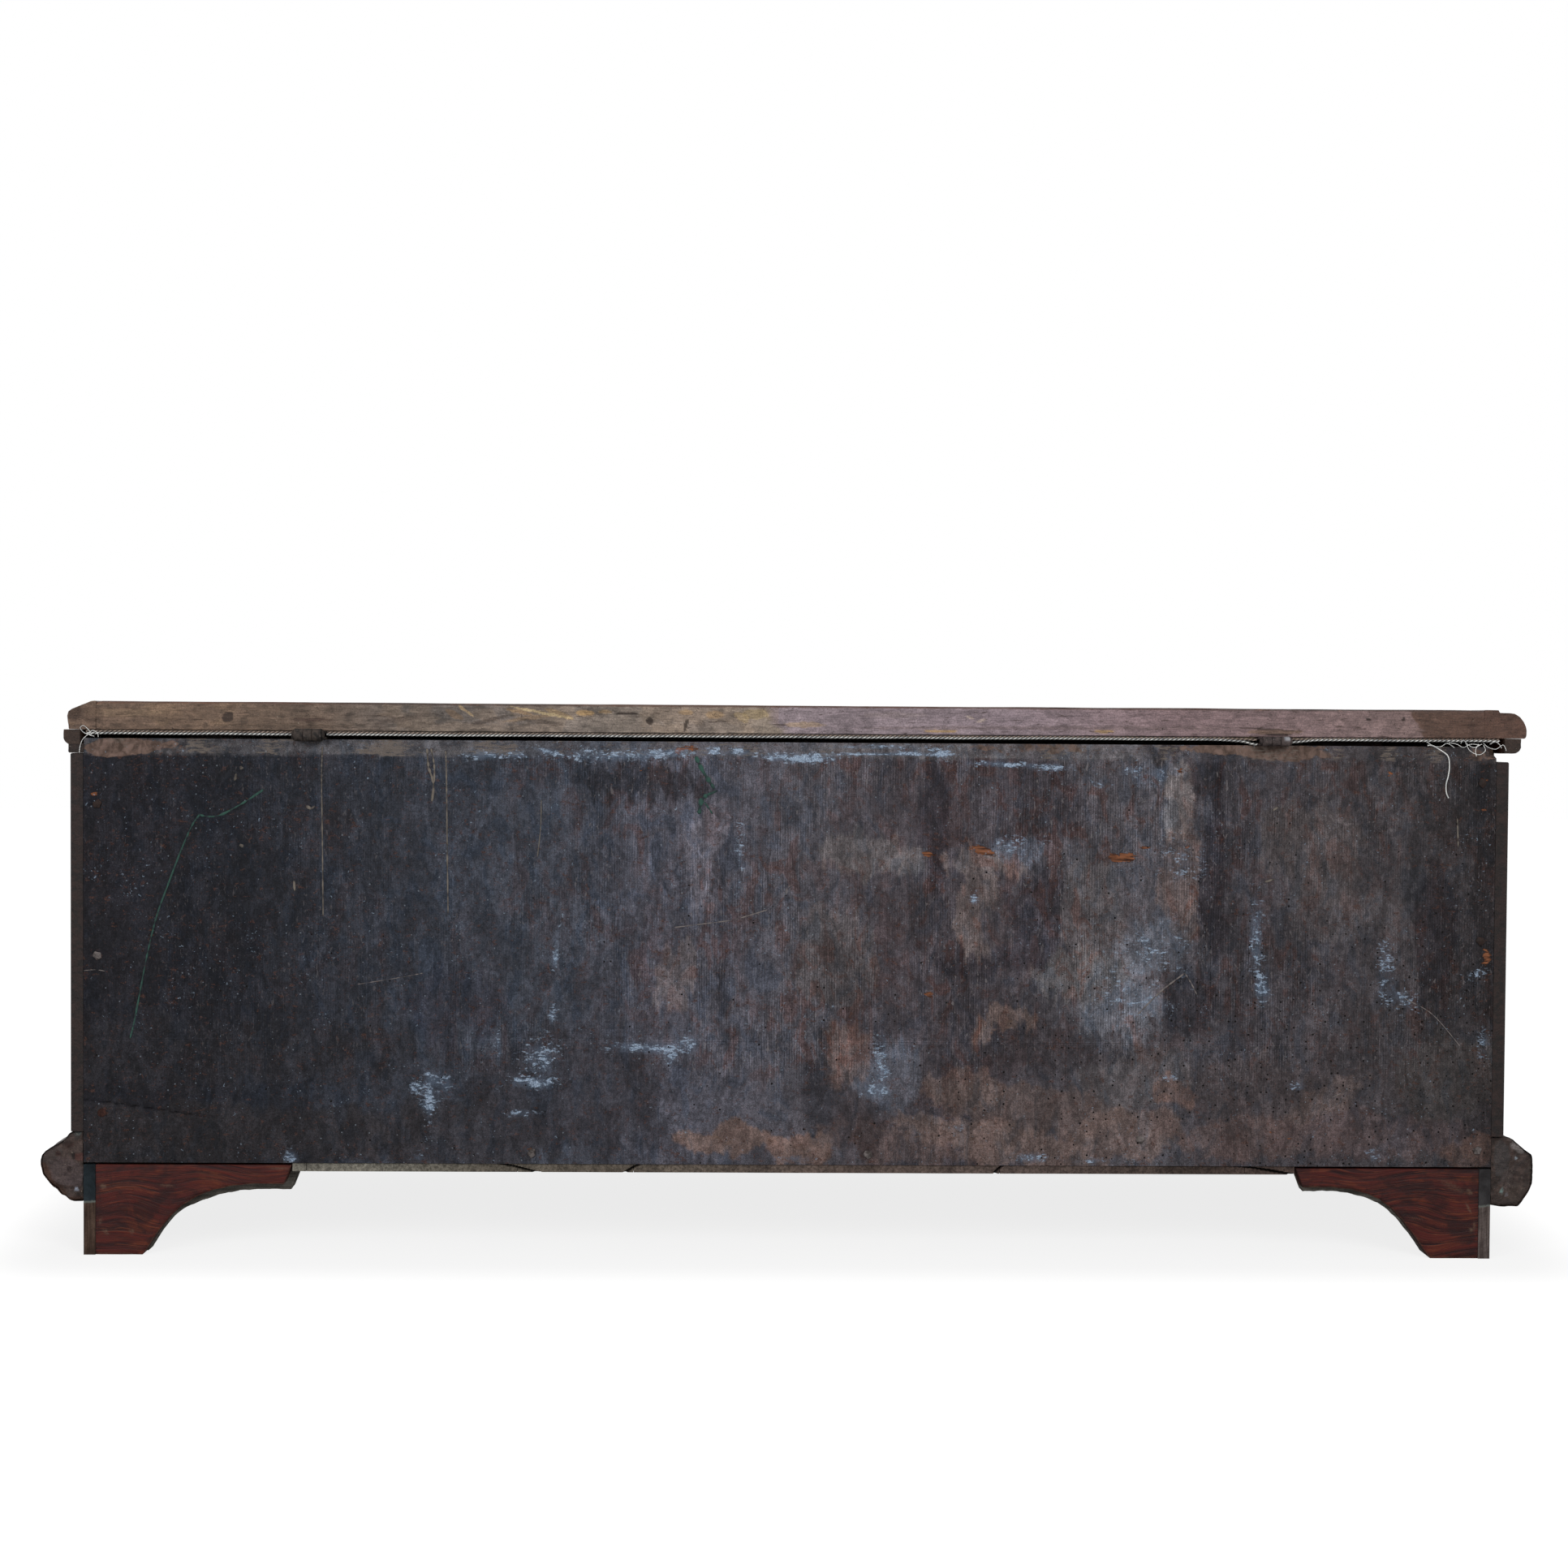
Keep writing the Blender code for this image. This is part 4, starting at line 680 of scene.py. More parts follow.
class CassapancaWood(PropertyGroup):
    """Colours of the stained and varnished wood and of the rust"""

    dark_stain: stain("Dark stain", "Darkest colour of the stained walnut", "2b1610")
    light_stain: stain("Light stain", "Lightest colour of the stained walnut", "6a3f28")
    dark_varnish: stain("Dark varnish", "Dark colour of the rear feet", "230f11")
    red_varnish: stain("Red varnish", "Red colour of the rear feet's streaks", "54201b")
    rust_colour: stain("Rust colour", "Colour of the rust on hinges, nails and lock", "463d38")


class CassapancaTrim(PropertyGroup):
    """Sizes of the braid's strands and the nails' heads"""

    yarn_turn: metres("Braid turn", "Length of one full turn of the braid's cords", 0.0106, 0.004, 0.03)
    yarn_radius: metres("Strand radius", "Radius of one strand of the braid", 0.0008, 0.0004, 0.002)
    nail_facets: IntProperty(
        name="Nail facets", description="Hammered facets on a nail's head", default=5, min=4, max=8,
    )


class CassapancaStage(PropertyGroup):
    """Floor, lamps and room of the stage"""

    floor_colour: stain("Floor colour", "Colour of the plain floor", "c4c4c4")
    # Floor white is its strength next to the chest; 0.3 more shows from a hand's breadth out, so a painted shadow lies
    # round the chest
    floor_white: FloatProperty(
        name="Floor white", description="Strength of the plain white that the camera sees in the floor",
        default=1.32, min=0, max=2, subtype="FACTOR",
    )
    key_power: FloatProperty(
        name="Main lamp", description="Power of the soft lamp beside the camera", default=50.0, min=0, subtype="POWER",
    )
    fill_power: FloatProperty(
        name="Fill lamp", description="Power of the soft lamp on the other side", default=32.0, min=0, subtype="POWER",
    )
    sky_strength: FloatProperty(
        name="Room light", description="Strength of the even light from all round", default=0.26, min=0, max=1,
        subtype="FACTOR",
    )


# Back planks

# The boards' colour along the back: across, colour. Partly painted sheen: the columns are lighter and bluer from about
# 800 to 1420 across, where the lamp's sheen falls on the middle of the back.
TONE_AND_SHEEN_COLUMNS = (
    (90, "201f22"), (300, "222327"), (430, "303237"), (560, "3a3d43"), (680, "3f4248"), (800, "4c4c52"),
    (900, "504f54"), (1000, "4e4c4f"), (1100, "494446"), (1200, "443f41"), (1320, "4c494b"), (1420, "514e50"),
    (1520, "403d3f"), (1620, "464243"), (1720, "423e3e"), (1790, "343131"), (1850, "302c2c"),
)

# Marks are soft-edged ellipses: (across, down, half width, half height), then what the table's own comment says,
# and last the lean in degrees of those that lean

# Soft patches of tone: colour, strength
TONE_PATCHES = (
    (1432, 928, 27, 9, "343031", 0.8), (1720, 926, 80, 11, "332f2f", 0.65), (1255, 990, 85, 45, "4f4a4c", 0.5),
    (250, 1300, 260, 40, "2b2a2c", 0.55), (250, 1400, 240, 40, "2e2b2b", 0.65), (560, 1400, 140, 45, "343132", 0.7),
    (640, 960, 110, 22, "34373d", 0.6), (790, 965, 75, 20, "28272a", 0.75), (560, 1240, 60, 40, "313239", 0.6),
    (700, 1340, 110, 70, "343235", 0.6), (868, 1060, 26, 70, "68656a", 0.85, 2), (893, 1150, 8, 110, "3a383c", 0.7),
    (835, 1200, 20, 40, "6a605c", 0.55, 20), (1075, 1056, 60, 22, "696360", 0.7),
    (1030, 1180, 45, 60, "58524f", 0.55), (1150, 1010, 16, 80, "332f33", 0.75), (1205, 1130, 30, 50, "6a5f5a", 0.75),
    (1215, 1062, 50, 14, "766b66", 0.7), (1255, 1046, 40, 14, "666a72", 0.6), (1275, 985, 60, 50, "3a3639", 0.6),
    (1270, 1130, 55, 50, "373337", 0.7), (1350, 1130, 40, 70, "5b5654", 0.6), (1240, 1184, 90, 10, "322e31", 0.85),
    (1452, 985, 16, 45, "77706c", 0.75), (1425, 955, 30, 14, "5c5f66", 0.6), (1455, 1100, 22, 70, "6a5b54", 0.6),
    (1380, 1230, 50, 60, "6d6e72", 0.75), (1330, 1200, 60, 30, "66625f", 0.6),
    (1460, 1240, 30, 34, "302e31", 0.85, 20), (1430, 1165, 40, 30, "66676b", 0.6),
    (1498, 1060, 16, 120, "2f2b2e", 0.8, 3), (1490, 960, 24, 40, "2d2a2d", 0.7), (1625, 1050, 60, 60, "554e4b", 0.65),
    (1650, 1120, 70, 40, "504b4a", 0.6), (1770, 1160, 26, 90, "2a2729", 0.8), (1835, 1100, 10, 160, "262323", 0.7),
    (1600, 1200, 60, 30, "3b3738", 0.6), (1550, 1340, 90, 40, "4d4543", 0.6), (1400, 1330, 60, 40, "5d5856", 0.6),
    (1300, 1290, 90, 30, "3b3637", 0.65), (1235, 1265, 36, 14, "6b5b53", 0.75, -25),
    (1090, 1330, 40, 50, "5e6066", 0.7), (1040, 1300, 30, 40, "6c5a51", 0.55, 25),
    (1010, 1340, 20, 60, "2f2f33", 0.65), (1190, 1340, 50, 26, "6a5a52", 0.6),
    (1270, 1370, 120, 30, "5e514b", 0.7, 10), (1230, 1410, 120, 22, "6b5b53", 0.75, 12),
    (1100, 1410, 90, 20, "5f504a", 0.6, 10), (1060, 1390, 40, 30, "3b3434", 0.6), (985, 1415, 40, 20, "725e54", 0.8),
    (890, 1405, 60, 16, "6f5c52", 0.8, 3), (1390, 1400, 70, 26, "6d5d55", 0.65, -8),
    (1445, 1352, 24, 14, "755c50", 0.6, 10), (1560, 1400, 90, 26, "5b4d48", 0.65),
    (1690, 1400, 110, 30, "554947", 0.65), (1780, 1330, 60, 50, "3f3b38", 0.6),
    (1640, 1355, 50, 18, "5e514b", 0.6, -25), (1815, 1420, 28, 20, "5a473e", 0.6),
)

# Smears of pale paint: density
PAINT_SMEARS = (
    (600, 930, 28, 6, 0.56), (640, 930, 14, 3.8, 0.5, 10), (676, 926, 26, 3, 0.66, 14), (722, 926, 20, 3.8, 0.34),
    (750, 934, 60, 6, 0.3), (800, 930, 60, 6, 0.42), (830, 926, 20, 4.5, 0.44), (880, 925, 9, 5.2, 0.62),
    (910, 927, 18, 5.2, 0.58), (960, 933, 30, 4.5, 0.56, 4), (1000, 935, 34, 5.2, 0.6), (1085, 920, 80, 1.9, 0.52),
    (1125, 926, 26, 3.8, 0.42), (1160, 930, 14, 9, 0.38), (1236, 942, 40, 3.6, 0.68, 2), (1300, 946, 24, 6, 0.42),
    (1395, 950, 12, 6, 0.42), (1430, 955, 16, 9, 0.4), (1360, 965, 16, 10, 0.3), (1245, 1042, 40, 12, 0.32),
    (1200, 1108, 5, 10, 0.5), (1455, 1060, 30, 30, 0.26), (1548, 1155, 9, 50, 0.48), (1556, 1220, 10, 22, 0.5),
    (912, 1045, 6, 50, 0.32), (684, 1180, 4, 16, 0.62, 5), (682, 1249, 5, 11, 0.56, 15), (411, 1098, 4, 4, 0.42, 30),
    (800, 1292, 46, 8, 0.58, 4), (850, 1284, 12, 8, 0.42), (826, 1305, 7, 10, 0.44), (668, 1305, 26, 30, 0.36),
    (650, 1334, 34, 7, 0.46), (614, 1288, 3, 26, 0.42), (1082, 929, 84, 1.6, 0.75, 0.5), (528, 1350, 5, 36, 0.4),
    (545, 1335, 16, 14, 0.44), (512, 1340, 12, 8, 0.4), (640, 1372, 18, 5, 0.42), (530, 1362, 14, 8, 0.38),
    (1085, 1320, 14, 34, 0.42), (1075, 1345, 20, 10, 0.36), (1380, 1225, 40, 50, 0.22), (1420, 1235, 20, 16, 0.34),
    (1430, 1170, 40, 30, 0.26), (1270, 1427, 20, 7, 0.6), (1350, 1430, 40, 4, 0.36), (358, 1425, 10, 7, 0.5),
    (517, 1425, 10, 5, 0.34), (982, 1428, 22, 5, 0.46), (1180, 1390, 10, 5, 0.34), (1440, 1328, 12, 6, 0.34),
    (1828, 1285, 8, 20, 0.3), (1708, 1190, 12, 44, 0.32), (1728, 1232, 26, 14, 0.32, 30), (1822, 1200, 10, 8, 0.36),
    (1600, 1340, 14, 8, 0.3), (1690, 1425, 10, 8, 0.34),
)

# Chips down to orange wood and stains of rust: density
ORANGE_CHIPS = (
    (1143, 1053, 12, 5, 0.62, 5), (1211, 1048, 22, 7, 0.66, 14), (1457, 950, 9, 6, 0.44), (1383, 1057, 25, 8, 0.66),
    (1410, 1045, 10, 5, 0.46), (1462, 1042, 6, 5, 0.5), (850, 922, 16, 5, 0.54), (836, 927, 7, 5, 0.54),
    (793, 948, 9, 4, 0.44), (1712, 953, 8, 6, 0.5), (1730, 998, 7, 4, 0.46), (1828, 997, 8, 7, 0.42),
    (1828, 960, 14, 8, 0.4), (1832, 1178, 11, 20, 0.5), (116, 978, 7, 5, 0.5), (380, 994, 9, 3, 0.38),
    (1145, 1225, 11, 9, 0.44), (1470, 1426, 12, 7, 0.4), (654, 1416, 8, 8, 0.4), (1546, 1236, 8, 3, 0.42, 10),
    (1560, 1395, 14, 3, 0.4, 8), (1588, 1402, 8, 3, 0.42),
)

# Bare brown dirt: density
DIRT_CRUSTS = (
    (160, 919, 66, 13, 0.54), (135, 924, 34, 10, 0.38), (610, 922, 60, 8, 0.18), (1290, 922, 120, 9, 0.4),
    (1545, 922, 95, 10, 0.62), (1590, 932, 60, 8, 0.46), (1825, 930, 26, 9, 0.46), (1385, 930, 20, 6, 0.2),
    (890, 1405, 60, 14, 0.26, 4), (985, 1415, 34, 14, 0.28), (1230, 1412, 110, 16, 0.26, 12),
    (1110, 1400, 60, 12, 0.2, 14), (1040, 1300, 24, 30, 0.2, 30), (1235, 1265, 30, 9, 0.3, -28),
    (1400, 1395, 50, 16, 0.24, -8), (1445, 1352, 18, 12, 0.2, 10), (1380, 1305, 24, 16, 0.22),
    (1200, 1330, 40, 18, 0.22), (1560, 1400, 80, 16, 0.18), (1820, 1420, 20, 16, 0.18), (1452, 985, 12, 30, 0.18),
    (835, 1195, 14, 24, 0.22, 25), (1640, 1352, 34, 6, 0.26, -25), (1770, 1300, 40, 5, 0.22, -12),
    (1655, 1290, 18, 8, 0.22),
)


def soft_spots(across, down, spots, edge=2.0):
    """The sum of soft-edged ellipses, each its strength times the spot of that edge."""
    total = np.zeros_like(across)
    for *ellipse, strength, lean in map(with_lean, spots):
        total = total + strength * spot(across, down, *ellipse, lean, edge)
    return total


def with_lean(mark):
    """A mark with its lean in degrees last: 0 where the table gives none."""
    return mark if len(mark) == (7 if isinstance(mark[4], str) else 6) else (*mark, 0)


def spot(across, down, x, y, wide, high, lean, edge=2.0):
    """e to minus the squared distance raised to edge: 1 in the middle of an ellipse that leans, 0 outside it."""
    turn = math.radians(lean)
    dx, dy = across - x, down - y
    u = (dx * math.cos(turn) + dy * math.sin(turn)) / wide
    v = (dy * math.cos(turn) - dx * math.sin(turn)) / high
    return np.exp(-(u * u + v * v) ** edge)


def blended(place, columns):
    """The colour at each place along a row of (place, colour) columns."""
    stops = [stop for stop, _ in columns]
    colours = np.array([linear(colour) for _, colour in columns])
    return np.stack([np.interp(place, stops, colours[:, k]) for k in range(3)], -1)


def back_tone(across, down):
    """The boards' colour: columns of tone, lighter and bluer through the middle with a painted sheen, blended along
    the back, then soft patches laid over them, both drawn with ragged upright edges by noise that moves the place
    where they are looked up."""
    ragged_x = across + 18 * rough(across, down * 0.22, 24, 11) + 6 * rough(across, down, 8, 14)
    ragged_y = down + 18 * rough(across, down * 0.5, 30, 17) + 7 * rough(across, down * 0.4, 8, 19)
    upright = 1 - 0.85 * eased(down, 1270, 1350)
    ragged_y = ragged_y + upright * 16 * rough(across, down * 0.08, 5, 16)
    crumbled = 0.34 * rough(across, down * 0.5, 12, 21, 5) + 0.22 * upright * rough(across, down * 0.12, 5, 22)
    crumbled = crumbled + 0.3 * (1 - upright) * rough(across, down, 6, 26, 4)
    return laid_over(blended(ragged_x, TONE_AND_SHEEN_COLUMNS), ragged_x, ragged_y, TONE_PATCHES, crumbled, 1.1) * np.array(
        (1.01, 1.01, 1.09),
    )


def laid_over(tone, across, down, marks, crumbled, grow=1.0):
    """Lays marks of colour over a tone; the noise added to each before its edge is drawn makes the edge ragged."""
    for x, y, wide, high, colour, strength, lean in map(with_lean, marks):
        share = spot(across, down, x, y, wide * grow, high * grow, lean)
        share = strength * eased(share + crumbled * (share > 0.01), 0.28, 0.56)[..., None]
        tone = tone * (1 - share) + linear(colour) * share
    return tone


def plank_values(x, z):
    """What each point of the back keeps for its finish: tone, marks (paint, chips, dirt) and tool traces."""
    across, down = seen_at(x, BACK_Y, z)
    tone = back_tone(across, down)
    below_top = (BACK_TOP - z) * 1000
    ragged = below_top + 2.2 * rough(across, 0, 40, 23) + 1.5 * rough(across, down, 7, 24)
    bevel = 1 - eased(ragged, 16.5, 19.5)
    # The worn slope along the top is painted paler grey: partly its scraped wood, partly painted light for the light
    # that the slope catches from above.
    paler = np.interp(
        across, (100, 400, 560, 680, 900, 1160, 1400, 1412, 1640, 1850),
        (0.3, 0.42, 0.5, 0.25, 0.3, 0.55, 0.45, 0.06, 0.06, 0.12),
    )
    bevel_light_tone = (bevel * paler * (0.35 + 1.1 * lattice(across, down * 3, 16, 25)))[..., None]
    tone = tone * (1 - bevel_light_tone) + linear("6a6769") * bevel_light_tone
    joint = np.exp(-((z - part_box("back_plank_upper")[0].z) / 0.0009) ** 2) * lattice(across, 0, 7, 27)
    tone = tone * (1 + 0.7 * joint)[..., None]
    smear = soft_spots(across, down, PAINT_SMEARS, 1.0)
    chip = soft_spots(across, down, ORANGE_CHIPS, 1.3)
    crust = soft_spots(across, down, DIRT_CRUSTS)
    marks = np.stack([np.clip(kind, 0, 1) for kind in (smear, chip, crust)], -1)
    saw = np.interp(across, (90, 500, 850, 960, 1500, 1850), (0.3, 0.45, 0.9, 1.0, 1.0, 0.8))
    saw = saw * (1 - 0.75 * eased(down + 16 * rough(across, 0, 90, 31), 1290, 1350))
    saw = saw * (1 - 0.8 * bevel) * (0.45 + 0.55 * eased(lattice(across, down * 0.5, 46, 33), 0.25, 0.7))
    worm = np.interp(across, (90, 900, 1200, 1500, 1850), (0.015, 0.02, 0.07, 0.2, 0.2)) * eased(down, 950, 1320)
    rub = 0.55 * bevel * lattice(across, down, 30, 35) + 0.1 * lattice(across, down, 60, 36)
    tools = np.stack((saw, worm, rub), -1)
    return tone, marks, tools


LOWER_PLANK_RISE = 0.0024


def cracked(x, z, line, wide, deep):
    """How far the surface drops at a crack: deep at the line through the points, nothing wide away from it."""
    line_x, line_z = line
    order = np.argsort(line_x)
    height = np.interp(x, line_x[order], line_z[order], left=9, right=9)
    return deep * np.exp(-((z - height) / wide) ** 2)


def plank(node, rows, columns, finish, settings):
    """A sawn plank as a section carried along its length. The rear face is cupped and waved by noise; near the
    top its points step back along a worn slope, and cracks are furrows with a bell-shaped section. The lower
    plank ends 2.4 mm above its frame's, where the real one does, and the face inside the chest is bare wood."""
    low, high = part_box(node)
    upper = high.z > BACK_TOP - 0.001
    foot = low.z + (0 if upper else LOWER_PLANK_RISE)
    rows_high = outline(
        (
            (high.y, foot), (high.y, high.z), (low.y + 0.001, high.z), (low.y, high.z - 0.001), (low.y, foot + 0.001),
            (low.y + 0.001, foot),
        ),
        (rows, 2, 1, 3, 1, 2),
    )
    rings = carried(0, np.linspace(low.x, high.x, columns), rows_high)
    x, y, z = np.moveaxis(rings, -1, 0)
    rear = eased(y, BACK_Y - 0.003, BACK_Y - 0.0008)
    step = 0.00035 * (1 + rough(x, z, 0.18, 41)) + 0.0002 * (1 + rough(x, z * 3, 0.03, 43))
    crack = on_back(*np.array(((103, 1357), (125, 1358), (200, 1369), (273, 1380))).T)
    step += cracked(x, z, crack, 0.0011, 0.0026 * eased(x, on_back(285, 1380)[0], on_back(230, 1375)[0]))
    for start, end, deep in (
        ((1765, 1240), (1797, 1290), 0.0012), ((1665, 1338), (1740, 1322), 0.001),
        ((1300, 1186), (1345, 1178), 0.001),
    ):
        run = on_back(*np.array((start, end)).T)
        step += cracked(x, z, run, 0.0014, deep)
    step += 0.0011 * eased(x, on_back(122, 1196)[0], on_back(106, 1196)[0]) * np.exp(
        -((z - on_back(115, 1196)[1]) / 0.0022) ** 2,
    )
    if upper:
        below = BACK_TOP - z + 0.0022 * rough(x, 0, 0.05, 47) + 0.001 * rough(x, z, 0.012, 49)
        slope = np.clip(1 - below / settings.bevel_height, 0, 1)
        step += settings.bevel_depth * slope * (0.75 + 0.35 * rough(x, 0, 0.11, 51))
        corner = eased((x + high.x) * -1, -0.0085, -0.004) * eased(z, high.z - 0.013, high.z - 0.009)
        step += 0.01 * corner
    rings[..., 1] = y - np.clip(step, 0, 0.015) * rear
    tone, marks, tools = plank_values(x, z)
    bare = 1 - eased(y, low.y + 0.006, low.y + 0.013)[..., None]
    tone = tone * (1 - bare) + linear("57412f") * bare
    marks, tools = marks * (1 - bare), tools * (1 - 0.7 * bare)
    values = {"tone": tone, "marks": marks, "tools": tools}
    return piece(f"grimed_{node}", [shell(rings, values)], CHEST, finish, (node,))


class CASSAPANCA_OT_back(Operator):
    """Builds the two planks of the back with their saw marks, stains, cracks and worn upper edge"""

    bl_idname = "cassapanca.back"
    bl_label = "Back Planks"

    def execute(self, context):
        settings = context.scene.cassapanca_back
        finish = grimed_planks(settings)
        plank("back_plank_upper", 134, 680, finish, settings)
        plank("back_plank_lower", 62, 700, finish, settings)
        return {"FINISHED"}


# Lid

# Colour of the lid's bare rear edge: across, colour
EDGE_COLUMNS = (
    (80, "6f5a4d"), (250, "7a6454"), (400, "6d5c50"), (520, "6f6660"), (640, "796f69"), (760, "867a70"),
    (860, "8f8177"), (905, "93857a"), (950, "918376"), (964, "918388"), (1250, "908086"), (1450, "887274"),
    (1700, "826d6b"), (1744, "7f6a67"), (1749, "5c463c"), (1880, "584036"),
)

# Gouges, stains and flaws in the rear edge: colour, strength
EDGE_MARKS = (
    (280, 883, 5, 6, "2d211c", 0.9, 60), (800, 888, 4, 4, "2d221c", 0.9), (1729, 886, 2, 2, "2a201c", 0.9),
    (1687, 887, 2.5, 1.5, "2a201c", 0.9), (774, 879, 12, 1.6, "2c211c", 0.95), (640, 877, 14, 2, "94795a", 0.7, 12),
    (650, 885, 24, 2, "876f55", 0.6, -8), (690, 880, 16, 2.5, "a08662", 0.6, 20), (720, 878, 10, 3, "ad8d62", 0.8),
    (745, 877, 8, 2, "a4865f", 0.6), (600, 888, 20, 2, "463a34", 0.7, -14), (560, 880, 10, 3, "836a52", 0.6, 30),
    (668, 889, 20, 2, "3b302a", 0.6, 6), (880, 881, 10, 4, "aa8b66", 0.6), (930, 880, 14, 5, "a8936e", 0.6),
    (845, 878, 8, 3, "a38560", 0.6), (915, 884, 8, 4, "c0a67c", 0.5, 30), (500, 885, 30, 3, "4f433c", 0.6, -10),
    (340, 895, 80, 2.2, "54453a", 0.5), (1300, 897, 200, 2, "6a5a58", 0.5), (1100, 881, 30, 3, "9c8c8c", 0.5),
    (990, 893, 20, 3, "a98e68", 0.5), (150, 878, 40, 4, "86705a", 0.5), (220, 884, 30, 3, "5f4d40", 0.5),
    (110, 880, 14, 8, "5a473b", 0.6), (92, 878, 8, 8, "4c3a30", 0.7), (382, 887, 20, 2, "3c2a25", 0.7),
    (1570, 902, 30, 2.4, "80664f", 0.6), (1566, 899, 30, 0.8, "35241f", 0.8, 3), (1577, 905, 15, 1, "2a1c18", 0.9),
    (667, 878, 33, 1.4, "c4ad86", 0.85, 11), (573, 875, 11, 1.5, "b59c7a", 0.85, 40),
    (845, 894, 2.5, 7, "2d221c", 0.85, 15), (1160, 901, 17, 1.7, "a8895c", 0.8), (1361, 901, 11, 1.6, "a08258", 0.8),
    (1195, 884, 5, 1.6, "bba89e", 0.8, 20), (1209, 888, 6, 1.4, "bba89e", 0.8, -10),
)


# Where the edge's colour changes from brown to a greyer pink
EDGE_CHANGE = 960


def edge_tone(x, z):
    """The bare edge's colour: columns of tone along it, marks laid over them, and noise drawn out along x."""
    across, down = seen_at(x, BACK_Y, z)
    ragged = across + 10 * rough(across, down * 2, 18, 61) - 0.5 * (down - 890)
    tone = blended(ragged, EDGE_COLUMNS)
    patch = eased(rough(across, down * 2, 40, 67, 4), 0.1, 0.3) * (across < EDGE_CHANGE)
    tone = tone * (1 - 0.2 * patch[..., None]) + linear("94795c") * 0.2 * patch[..., None]
    dark = eased(rough(across, down * 2, 12, 69, 4), 0.15, 0.4)
    tone = tone * (1 - np.where(across < EDGE_CHANGE, 0.35, 0.1) * dark)[..., None]
    crumbled = 0.3 * rough(across, down, 6, 65, 2)
    ragged_x, ragged_y = across + 2 * rough(across, down, 8, 66), down + rough(across, down * 2, 9, 63)
    return laid_over(tone, ragged_x, ragged_y, EDGE_MARKS, crumbled, 1.25)


def worn_edge(rings, deep=0.0012, seed=71):
    """Wears a lid piece at its rear edge: the upper rear arris is rounded back and noise roughens the face."""
    x, y, z = np.moveaxis(rings, -1, 0)
    rear = eased(y, BACK_Y - 0.004, BACK_Y - 0.001)
    step = deep * 0.5 * (1 + rough(x, z * 2, 0.03, seed)) + 0.0006 * (1 + rough(x, z * 3, 0.008, seed + 2))
    arris = np.clip((z - (LID_TOP - 0.005)) / 0.005, 0, 1) ** 2
    step = step + 0.0026 * arris * (0.7 + 0.5 * rough(x, 0, 0.04, seed + 4))
    worn = rings.copy()
    worn[..., 1] = y - np.clip(step, 0, 0.006) * rear
    worn[..., 2] = z - 0.0016 * arris * rear * (1 + rough(x, 0, 0.05, seed + 6)) * 0.6
    top = eased(z + 0.0006 * rough(x, z, 0.01, 77), LID_TOP - 0.003, LID_TOP - 0.0016)
    return worn, rear * (1 - 0.85 * top)


def lid_board(finish):
    """The lid's board as a section carried along x, fine over its rear edge. Its top is flat to half a
    millimetre of noise, as hand-planed boards are."""
    low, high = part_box("lid_board")
    corners = (
        (BACK_Y, low.z + 0.0008), (BACK_Y, high.z - 0.0008), (BACK_Y - 0.0008, high.z), (BACK_Y - 0.006, high.z),
        (low.y, high.z), (low.y, low.z), (BACK_Y - 0.0008, low.z),
    )
    section = outline(corners, (24, 1, 3, 30, 4, 8, 1))
    rings, rear = worn_edge(carried(0, np.linspace(low.x - 0.00025, high.x, 1100), section))
    x, z = rings[..., 0], rings[..., 2]
    top = eased(z, high.z - 0.0005, high.z - 0.0001) * (1 - rear)
    rings[..., 2] -= 0.0004 * top * (1 + rough(x, rings[..., 1], 0.09, 81))
    rings[..., 2] -= np.clip((x - on_back(125, 862)[0]) * 0.28, 0, 0.002) * eased(z, high.z - 0.006, high.z)
    return on_lid("lid_board", shell(rings, {"worn": rear, "tone": edge_tone(x, z)}), finish)


def on_lid(node, shells, finish):
    """A walnut piece of the lid in the place of its node, made of one shell or a list of them."""
    shells = shells if isinstance(shells, list) else [shells]
    return piece(f"walnut_{node}", shells, LID, finish, (node,))


